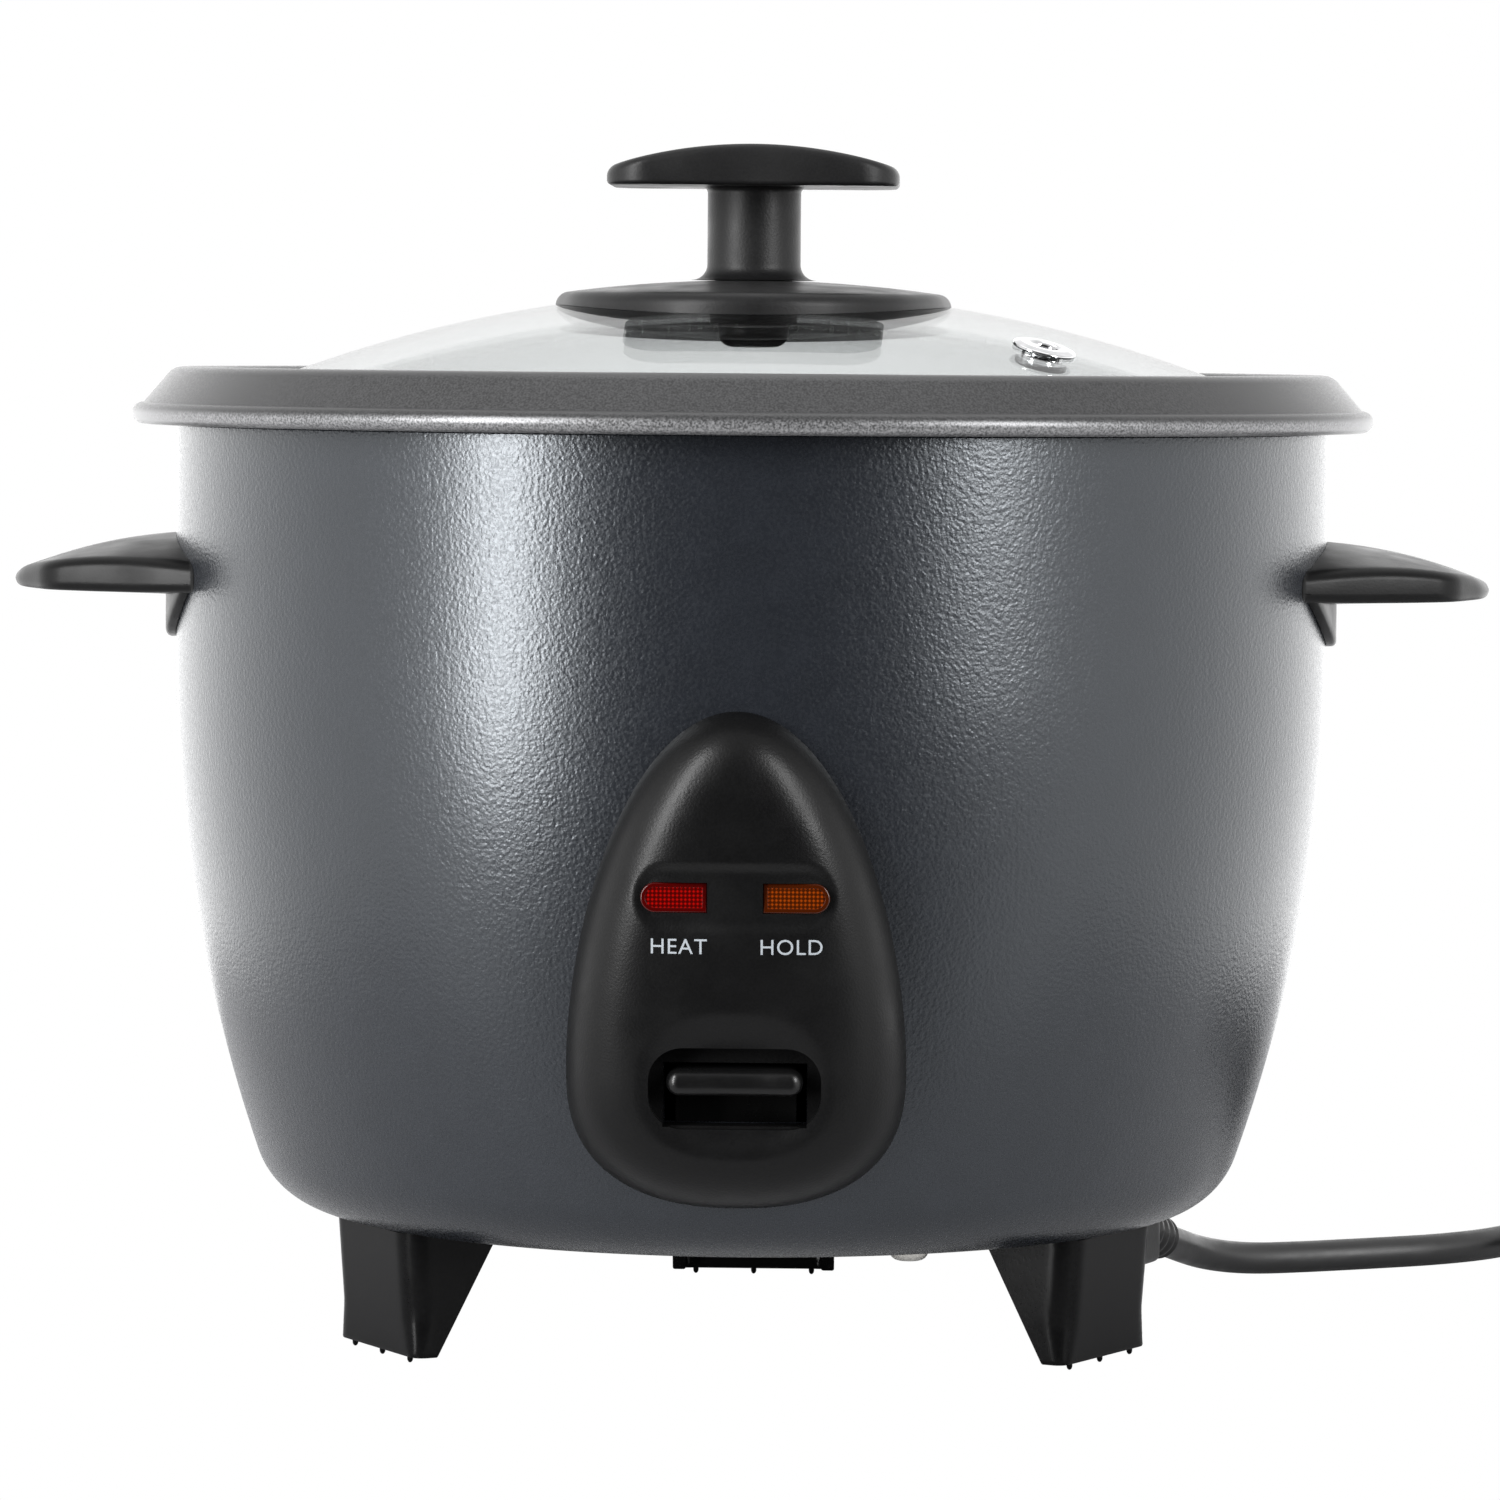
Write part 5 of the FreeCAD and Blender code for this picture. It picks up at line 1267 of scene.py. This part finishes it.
UPPER_FULL = 1.8       # exponent of the panel's outline above its widest height
LOWER_FULL = 2.6       # and below it
UPPER_ROOT, LOWER_ROOT = 0.5, 0.42    # roots of the outline above and below
SHOULDER_FULL = 3.4    # exponent of the shoulder's swell from its edge
SOFT_POWER = 8         # power of the mean that stands for the least distance from the panel's edge
SOFT_SHARE = 0.7       # share of that mean which is the distance
DISH_FULL = 2.5        # fullness of the dish's oval
DISH_FLAT = 0.55       # share of the dish that is at its full depth
TEXT_SIZE = 1.38       # size of a text over the height of its capitals
TEXT_SPACING = 1.08    # spacing of the labels' letters


def panel_outline(panel, count):
    """Teardrop (x, z): the half width times a root of 1 - height ** exponent, with an exponent and a root
    of its own above the widest height and below it."""
    angle = np.linspace(-pi / 2, pi / 2, 400)
    share = np.abs(np.sin(angle))
    above = np.maximum(1 - share ** UPPER_FULL, 0) ** UPPER_ROOT
    below = np.maximum(1 - share ** LOWER_FULL, 0) ** LOWER_ROOT
    x = panel.half_w * np.where(angle > 0, above, below)
    reach = np.where(angle > 0, panel.top_z - panel.wide_z, panel.wide_z - panel.low_z)
    z = panel.wide_z + reach * np.sin(angle)
    right = np.stack([x, z], axis=1)
    left = right[1:-1][::-1] * np.array([-1, 1])
    return evenly(np.vstack([right, left]), count)


def smooth_step(value, start, end):
    """0 before start, 1 after end, and a smooth cubic between."""
    t = np.clip((value - start) / (end - start), 0, 1)
    return t * t * (3 - 2 * t)


def outside_of(x, z, half_w, half_h, corner):
    """Distance outside a rounded rectangle about the origin, negative inside it."""
    dx, dz = np.abs(x) - half_w + corner, np.abs(z) - half_h + corner
    return np.hypot(np.maximum(dx, 0), np.maximum(dz, 0)) + np.minimum(np.maximum(dx, dz), 0) - corner


def panel_depth(panel, x, z):
    """How far the panel's face is sunk: a flat recess round the lamps, and a dish round the lever's opening.
    The dish is a cubic step over the rings of a full oval, taller above the opening than below it."""
    lamps = outside_of(x, z - panel.lamp_z, panel.recess_w / 2, panel.recess_h / 2, panel.recess_h / 2)
    up = z - panel.slot_z
    tall = panel.slot_h / 2 + np.where(up > 0, panel.dish_up, panel.dish_low)
    wide = panel.slot_w / 2 + panel.dish_side
    ring = (np.abs(x / wide) ** DISH_FULL + np.abs(up / tall) ** DISH_FULL) ** (1 / DISH_FULL)
    dish = panel.dish_d * (1 - smooth_step(ring, DISH_FLAT, 1.0))
    slope = 1.3 * MM
    return panel.recess_d * (1 - smooth_step(lamps, -slope, slope)) + dish


def panel_face(panel, body, x, z, stand):
    """Depth y of the panel's face, standing off the body's wall by stand and sunk where it is recessed."""
    r = wall_radius(body, z) + stand - panel_depth(panel, x, z) * stand / panel.bulge
    return -np.sqrt(r ** 2 - x ** 2)


def front_form(outline, front, rear, bevel, sink=None):
    """Closed form with a flat outline (x, z) seen from the front: bevelled round its front edge, with
    its face sunk inside a narrow rim where sink gives (rim, depth)."""
    insets = list(bevel * (1 - np.cos(QUARTER)))
    depths = list(front + bevel * (1 - np.sin(QUARTER)))
    if sink:
        rim, depth = sink
        insets += [bevel + rim, bevel + rim + 0.6 * depth]
        depths += [front, front + depth]
    fills = np.linspace(0.12, 1, 8)
    rings = inset_rings(outline, insets, fills, outline.mean(axis=0))
    y = np.array(depths + [depths[-1]] * len(fills))
    face = raised(rings, y[:, None])[..., [0, 2, 1]]
    back = face[[0, -1]].copy()
    back[..., 1] = rear
    return np.concatenate([back[::-1], face])


def lens_outline(panel, side, grow):
    """Lamp window: half a circle at its outer end, square at its inner end."""
    half_w, half_h = panel.lens_w / 2 + grow, panel.lens_h / 2 + grow
    turn = np.linspace(-pi / 2, pi / 2, 48)
    bow = np.stack([half_w - half_h + half_h * np.cos(turn), half_h * np.sin(turn)], axis=1)
    flat = np.vstack([[(-half_w, half_h), (-half_w, -half_h)], bow])
    flat = flat if side > 0 else flat[::-1] * np.array([-1, 1])
    return flat + np.array([side * panel.lamp_x, panel.lamp_z])


def slot_outline(panel, grow):
    """Outline (x, z) of the lever's opening."""
    half_w, half_h = panel.slot_w / 2 + grow, panel.slot_h / 2 + grow
    outline = eased(rectangle(half_w, half_h), panel.slot_corner + grow)
    return evenly(outline, 160) + np.array([0, panel.slot_z])


class COOKER_OT_panel(bpy.types.Operator):
    """Teardrop control panel with its lamp windows, labels and lever."""
    bl_idname = "cooker.panel"
    bl_label = "Control panel"

    def execute(self, context):
        panel, body = setting("panel"), setting("body")
        fills = np.linspace(0, 1, 90)[1:] ** 1.5
        outline = panel_outline(panel, 420)
        rings = inset_rings(outline, (0,), fills, (0, panel.wide_z), (0, panel.lamp_z + 6 * MM))
        stand = self.swell(panel, outline, rings)
        y = panel_face(panel, body, rings[..., 0], rings[..., 1], stand)
        grid = raised(rings, y)[..., [0, 2, 1]]
        cover = mesh_of("teardrop_panel", [(grid.reshape(-1, 3), weave(*grid.shape[:2]))])
        wall = cover.modifiers.new("wall", "SOLIDIFY")
        wall.thickness = panel.wall
        wall.offset = -1
        combined(cover, [self.well(panel, body)], "UNION")
        floor_y = -float(wall_radius(body, panel.slot_z + panel.slot_h / 2)) - 1.6 * MM
        face_y = -(float(wall_radius(body, panel.lamp_z)) + panel.bulge - panel.recess_d)
        keen = 0.01 * MM
        slot = front_form(slot_outline(panel, 0), -body.radius - panel.bulge, floor_y, keen)
        cutters = [closed_form(slot), lever_way(panel, body, 0.7 * MM)]
        for side in (-1, 1):
            window = lens_outline(panel, side, 0.06 * MM)
            hole = front_form(window, face_y - 2 * MM, face_y + 2 * panel.lens_t, keen)
            cutters.append(closed_form(hole))
        combined(cover, cutters, "DIFFERENCE")
        placed(cover, "housing", finish("panel_plastic"), ("control_panel",))
        for side, name, glow in ((-1, "red_window", "red_lens"), (1, "amber_window", "amber_lens")):
            self.window(panel, side, name, glow, face_y)
        self.label(panel, body, -1, "label_left", panel.lamp_word_a)
        self.label(panel, body, 1, "label_right", panel.lamp_word_b)
        self.lever(panel, body)
        return {"FINISHED"}

    def swell(self, panel, outline, rings):
        """How far the face stands off the body: a power of the way in from the edge. That way is a soft
        least distance, a share of the power mean of the distances from the outline's points."""
        stand = np.full(rings.shape[:2], 0.12 * MM)
        for ring, row in zip(rings[1:], stand[1:]):
            apart = np.linalg.norm(ring[:, None] - outline[None], axis=2)
            near = (np.maximum(apart, 1e-6) ** -float(SOFT_POWER)).mean(axis=1)
            inside = SOFT_SHARE * near ** (-1 / SOFT_POWER)
            row += (panel.bulge - row) * (1 - np.maximum(1 - inside / panel.shoulder, 0) ** SHOULDER_FULL)
        return stand

    def well(self, panel, body):
        """Pocket behind the lever's opening: a block with the opening's outline, from the face back to the
        body's wall."""
        outline = slot_outline(panel, 1.2 * MM)
        rings = inset_rings(outline, (0, 0.3 * MM), np.linspace(0.1, 1, 10), (0, panel.slot_z))
        x, z = rings[..., 0], rings[..., 1]
        front = panel_face(panel, body, x, z, panel.bulge - 0.6 * MM)
        back = -np.sqrt((wall_radius(body, z) + 0.1 * MM) ** 2 - x ** 2)
        grid = np.concatenate([raised(rings, front)[::-1], raised(rings, back)])
        return closed_form(grid[..., [0, 2, 1]])

    def window(self, panel, side, name, glow, face_y):
        """Lamp window with a narrow rim round its dotted field; the field is marked on the mesh's points."""
        front = face_y + panel.lens_sink
        rim, sunk = 0.42 * MM, 0.25 * MM
        grid = front_form(lens_outline(panel, side, 0), front, front + panel.lens_t, 0.3 * MM, (rim, sunk))
        lens = mesh_of(name, [closed_form(grid)])
        depth = places_of(lens.data)[:, 1] - front
        # Dotted field that the window's finish brightens with painted lamp light
        mark(lens.data, "lit_field", np.where(np.abs(depth - sunk) < 0.02 * MM, 1.0, 0.0))
        placed(lens, "housing", finish(glow), ("cook_lens" if side < 0 else "warm_lens",))

    def label(self, panel, body, side, name, word):
        """Printed word: a filled text made a mesh, then laid on the panel's face."""
        text = bpy.data.curves.new(name, "FONT")
        text.body = word
        text.align_x, text.align_y = "CENTER", "CENTER"
        text.size = panel.label_h * TEXT_SIZE
        text.space_character = TEXT_SPACING
        text.extrude = 0.05 * MM
        text.resolution_u = 4
        draft = bpy.data.objects.new(name + "_draft", text)
        bpy.context.scene.collection.objects.link(draft)
        bpy.context.view_layer.update()
        made = draft.evaluated_get(bpy.context.evaluated_depsgraph_get())
        mesh = bpy.data.meshes.new_from_object(made)
        bpy.data.objects.remove(draft)
        welded(mesh)
        across, up, thick = places_of(mesh).T
        x, z = across + side * panel.label_x, up + panel.label_z
        y = panel_face(panel, body, x, z, panel.bulge) - thick
        mesh.vertices.foreach_set("co", np.stack([x, y, z], axis=1).ravel())
        mesh.update()
        word_piece = bpy.data.objects.new(name, mesh)
        bpy.context.scene.collection.objects.link(word_piece)
        placed(word_piece, "housing", finish("printed_ink"))

    def lever(self, panel, body):
        """Lever: a paddle with a hollowed face and round ends, on a riser, a bar, a pivot boss and a nose."""
        half_w, half_h = panel.paddle_w / 2, panel.paddle_t / 2
        outline = evenly(eased(rectangle(half_w, half_h), half_h * 0.95), 160) + np.array([0, panel.paddle_z])
        bar_w, bar_t, nose_z, nose_r = 5.0 * MM, 1.5 * MM, 50.0 * MM, 2.5 * MM
        pivot_y, pivot_z, boss_r, pin_r = -55.0 * MM, 46.0 * MM, 4.0 * MM, 2.05 * MM
        riser_y = 3 * body.sheet - float(wall_radius(body, nose_z - bar_t - LEVER_PRESS))
        rear = riser_y + 2 * bar_t
        grid = front_form(outline, panel.paddle_y, rear, 2.1 * MM)
        hollow = np.exp(-((grid[..., 0] / (0.55 * half_w)) ** 4)) * 0.35 * MM
        grid[2:, :, 1] += hollow[2:]
        lever = mesh_of("lever_paddle", [closed_form(grid)])
        skirt, bar_half = half_w - 1.3 * MM, bar_w * 0.98
        parts = [upright_box((-skirt, riser_y, nose_z - bar_t), (skirt, rear - 0.1 * MM, panel.paddle_z)),
                 upright_box((-bar_half, riser_y + 0.2 * MM, nose_z - bar_t * 0.98),
                             (bar_half, 0, nose_z + bar_t))]
        across = (1, 0, 0)
        for y, z, radius, share in ((0, nose_z, nose_r, 0.96), (pivot_y, pivot_z, boss_r, 0.97)):
            parts.append(turned_along(rod_section(radius, -bar_w * share, bar_w * share), across, (0, y, z)))
        combined(lever, parts, "UNION")
        eye = turned_along(rod_section(pin_r, -2 * bar_w, 2 * bar_w), across, (0, pivot_y, pivot_z))
        combined(lever, [eye], "DIFFERENCE")
        placed(lever, "lever", finish("lever_plastic"), ("switch_lever",))


SUNK_ROOT = 1.2 * MM   # how far a handle's rounded root is drawn into the wall before it is pushed out
TOP_ROUND, UNDER_ROUND, TONGUE_ROUND = 0.085, 0.055, 0.12    # shares of the plan in a handle's edges


class COOKER_OT_handles(bpy.types.Operator):
    """Two side handles: an arched wedge over its plan, with a tongue that lies on the body."""
    bl_idname = "cooker.handles"
    bl_label = "Handles"

    def execute(self, context):
        grip, body = setting("grips"), setting("body")
        grids = self.wedge(grip, body), self.tongue(grip, body)
        for side, angle in (("right", 0.0), ("left", pi)):
            handle = mesh_of("side_grip_" + side, [closed_form(spun(grid, angle)) for grid in grids])
            placed(handle, "housing", finish("handle_plastic"), ("handle_" + side,))
        return {"FINISHED"}

    def wedge(self, grip, body):
        """Wedge: rings inside its plan. The top is the side's height plus a crest that falls towards the tip,
        less a parabola across; the underside bellies by a parabola; quarter circles round both edges.
        What reaches into the body is pushed out to its wall."""
        near, tip = body.radius - SUNK_ROOT, body.radius + grip.out
        root, end = grip.root_w / 2, grip.tip_w / 2
        across = np.linspace(root, 0, 30)
        body_side = np.stack([np.sqrt(near ** 2 - across ** 2), across], axis=1)
        shoulder = tip - grip.tip_back
        half = eased([(tip, 0), (tip - 0.8 * MM, 0.45 * end), (shoulder, end), body_side[0]],
                     np.array([0, 40, 9, 0]) * MM, closed=False)
        half = np.vstack([half[:-1], body_side])
        plan = evenly(np.vstack([half, half[1:-1][::-1] * np.array([1, -1])]), 360)
        fills = np.linspace(0.13, 1, 18)
        middle = (near + 0.35 * grip.out, 0)
        low_edge = 1.5 * MM
        bend = 1 - np.cos(QUARTER[1:])
        rings = inset_rings(plan, (0,), [*TOP_ROUND * bend, *fills], middle)
        under = inset_rings(plan, (0,), [*UNDER_ROUND * bend, *fills], middle)
        out = np.clip((rings[..., 0] - near) / grip.out, -0.3, 1)
        highest = grip.side_h + grip.arch
        crest = highest - (highest - grip.tip_h) * (0.3 * out + 0.7 * np.abs(out) ** 2.2)
        side = np.minimum(grip.side_h, 0.8 * crest)
        arch = side + (crest - side) * (1 - (rings[..., 1] / (root + grip.side_h)) ** 2)
        back = np.clip((tip - under[..., 0]) / grip.out, 0, 1)
        belly = grip.belly * (1 - (under[..., 1] / root) ** 2) * back
        rise = edge_rise(fills)[:, None]
        top = grip.low_z + arch - grip.edge + grip.edge * rise
        base = grip.low_z + low_edge * (1 - rise) - belly * rise
        grid = np.concatenate([raised(under, base)[::-1], raised(rings, top)])
        r = np.hypot(grid[..., 0], grid[..., 1])[..., None]
        grid[..., :2] *= np.maximum(r, body.radius + 0.03 * MM) / r
        return grid

    def tongue(self, grip, body):
        """Tongue: rings inside a bow below the handle, wrapped on the body's wall and rounded at its edge."""
        root = grip.root_w / 2 - 0.6 * MM
        top, low = grip.low_z + 1.5 * MM, grip.low_z - grip.tongue_drop
        y = np.linspace(-root, root, 80)
        bow = np.stack([y, low + (top - low) * (y / root) ** 2], axis=1)
        plan = evenly(np.vstack([bow, [(0.5 * root, top), (-0.5 * root, top)]]), 240)
        edge = 0.9 * MM
        fills = np.linspace(0.18, 1, 16)
        middle = (0, 0.7 * top + 0.3 * low)
        bend = 1 - np.cos(QUARTER[1:])
        rings = inset_rings(plan, (0,), [*TONGUE_ROUND * bend, *fills], middle)
        rise = edge * edge_rise(fills)[:, None]
        outer = body.radius + grip.tongue_t - edge + rise
        inner = np.full_like(rise, body.radius + 0.12 * MM)
        sheets = []
        for radius in (inner, outer):
            x = np.sqrt(radius ** 2 - rings[..., 0] ** 2)
            sheets.append(np.stack([x, rings[..., 0], rings[..., 1]], axis=-1))
        return np.concatenate([sheets[0][::-1], sheets[1]])


BASE_SCREWS = (-65, 55, 175)    # angles of the base screws


class COOKER_OT_feet(bpy.types.Operator):
    """Three moulded feet: a U-shaped wall whose gussets taper to the table, with a screw boss and pips."""
    bl_idname = "cooker.feet"
    bl_label = "Feet"

    def execute(self, context):
        grip, body = setting("grips"), setting("body")
        grids = [self.wall(grip, body)] + self.boss_and_pips(grip, body)
        for node, angle in (("foot_front_left", -150), ("foot_front_right", -30), ("foot_rear", 90)):
            forms = [closed_form(spun(grid, radians(angle))) for grid in grids]
            foot = combined(mesh_of("moulded_" + node, forms[:1]), forms[1:], "UNION")
            placed(foot, "housing", finish("foot_plastic"), (node,))
        self.screws(body)
        return {"FINISHED"}

    def screws(self, body):
        """Flat heads of the base screws: a shallow arc turned about each screw's axis."""
        r, head_r, head_h, shank_r = body.base_r - body.lip_w / 2, 3.6 * MM, 0.7 * MM, 1.9 * MM
        seat, inside = body.base_z - 0.02 * MM, body.base_z + 3 * MM
        dome = arc(np.array([head_r, body.base_z - 0.15 * MM]), np.array([0.0, -1.0]),
                   np.array([0.0, body.base_z - head_h]))
        section = np.vstack([[(0, inside), (shank_r, inside), (shank_r, seat), (head_r, seat)], dome])
        heads = []
        for angle in BASE_SCREWS:
            place = np.array([r * cos(radians(angle)), r * sin(radians(angle)), 0])
            heads.append(closed_form(turned(section, SMALL_TURN_STEPS) + place))
        screws = mesh_of("base_screw_heads", heads)
        placed(screws, "housing", finish("screw_steel"), ("base_screws",))

    def wall(self, grip, body):
        """Loft of a U: its outer and inner line at each height, closed along the wall's middle line above
        and below."""
        low, high = grip.pip_h, body.base_z - TOUCH
        half, wall = grip.foot_w / 2, grip.foot_wall
        rows = []
        rounded = low + np.array([0, 0, 0.12, 0.4]) * MM
        heights = np.concatenate([rounded, np.linspace(low + 1 * MM, high, 14), [high]])
        shares = np.concatenate([[0, 0.7, 0.93, 1], np.ones(14), [0]])
        for z, share in zip(heights, shares):
            up = (z - low) / (high - low)
            out = grip.foot_low + (grip.foot_top - grip.foot_low) * up
            back = out - grip.foot_low_d - (grip.foot_top_d - grip.foot_low_d) * up
            lines = []
            for front, side, corner in ((out, half, grip.foot_corner), (out - wall, half - wall, 0.8 * MM)):
                line = [(back, -side), (front, -side), (front, side), (back, side)]
                lines.append(evenly(eased(line, corner, closed=False), 80, closed=False))
            outer, inner = lines
            middle = (outer + inner) / 2
            loop = np.vstack([middle + (outer - middle) * share, (middle + (inner - middle) * share)[::-1]])
            rows.append(np.column_stack([loop, np.full(len(loop), z)]))
        return np.array(rows)

    def boss_and_pips(self, grip, body):
        """Turned screw boss inside the U and three round-ended pips below its wall."""
        boss_r, boss_h, boss_in = 4.2 * MM, 9.0 * MM, 7.0 * MM
        boss = rod_section(boss_r, body.base_z - boss_h, body.base_z - 0.1 * MM)
        boss = turned(boss, SMALL_TURN_STEPS) + np.array([grip.foot_top - boss_in, 0, 0])
        lean = np.linspace(0, pi / 2, 8)
        end_h, top = 0.8 * MM, grip.pip_h + 0.8 * MM
        dome = np.stack([grip.pip_r * np.sin(lean), end_h * (1 - np.cos(lean))], axis=1)
        pip = np.vstack([dome, [(grip.pip_r, top), (0, top)]])
        x, y = grip.foot_low - grip.foot_wall / 2, grip.foot_w / 2 - grip.foot_corner
        return [boss] + [turned(pip, 24) + np.array([x, side * y, 0]) for side in (-1, 0, 1)]


# Finish of each CAD node that is shown as it is
NODE_FINISHES = {
    "sheet_steel": ("base_plate", "switch_bracket", "fuse_clip"),
    "screw_steel": ("foot_screws", "handle_screws", "panel_screws", "heater_screws", "lever_pin"),
    "spring_steel": ("thermostat_spring", "lever_spring"),
    "element_steel": ("heating_element",),
    "cast_aluminium": ("heater_posts", "thermostat_sleeve"),
    "magnet_iron": ("upper_magnet", "magnet_plunger"),
    "knob_fixing": ("knob_washer", "knob_screw"),
    "pale_plastic": ("lamp_holder", "contact_switch", "terminal_block", "thermal_fuse"),
    "lamp_glass": ("cook_lamp", "warm_lamp"),
}

# Joint that presses each spring, the place of its fixed end, and the share of its length left at the limit
SPRINGS = {
    "lever_spring": ("lever_press", (0, -67.0 * MM, 27.5 * MM), 0.94),
    "thermostat_spring": ("sensor_press", (0, 0, 66.2 * MM), 0.8),
}


class COOKER_OT_inside(bpy.types.Operator):
    """Finishes of the screws and of the fittings inside, and a mesh of its own for each spring."""
    bl_idname = "cooker.inside"
    bl_label = "Inside fittings"

    def execute(self, context):
        for name, nodes in NODE_FINISHES.items():
            for node in nodes:
                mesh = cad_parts[node].data
                mesh.materials.clear()
                mesh.materials.append(finish(name))
        for node, (joint, foot, kept) in SPRINGS.items():
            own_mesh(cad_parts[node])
        return {"FINISHED"}


STEPS = (COOKER_OT_body, COOKER_OT_pot, COOKER_OT_lid, COOKER_OT_panel, COOKER_OT_handles, COOKER_OT_feet,
         COOKER_OT_lead, COOKER_OT_inside, COOKER_OT_stage)


class COOKER_PT_sidebar(bpy.types.Panel):
    """Sidebar list of the cooker's pieces."""
    bl_idname = "COOKER_PT_sidebar"
    bl_label = "Rice cooker"
    bl_space_type = "VIEW_3D"
    bl_region_type = "UI"
    bl_category = "Rice cooker"

    def draw(self, context):
        for step in STEPS:
            self.layout.operator(step.bl_idname)


GROUPS = {"body": BodySizes, "pot": PotSizes, "lid": LidSizes, "panel": PanelSizes, "grips": GripSizes,
          "lead": LeadSizes, "colours": Colours}


def register():
    """Make the sizes, the pieces' operators and the sidebar known."""
    for group in GROUPS.values():
        bpy.utils.register_class(group)
    for step in STEPS:
        bpy.utils.register_class(step)
    bpy.utils.register_class(COOKER_PT_sidebar)
    for name, group in GROUPS.items():
        setattr(bpy.types.Scene, "cooker_" + name, PointerProperty(type=group))


def unregister():
    """Take back what register made known."""
    for name in GROUPS:
        delattr(bpy.types.Scene, "cooker_" + name)
    bpy.utils.unregister_class(COOKER_PT_sidebar)
    for step in reversed(STEPS):
        bpy.utils.unregister_class(step)
    for group in reversed(GROUPS.values()):
        bpy.utils.unregister_class(group)


def main():
    """Dress the frame piece by piece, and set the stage."""
    register()
    bpy.ops.cooker.body()
    bpy.ops.cooker.pot()
    bpy.ops.cooker.lid()
    bpy.ops.cooker.panel()
    bpy.ops.cooker.handles()
    bpy.ops.cooker.feet()
    bpy.ops.cooker.lead()
    bpy.ops.cooker.inside()
    bpy.ops.cooker.stage()


if __name__ == "__main__":
    main()
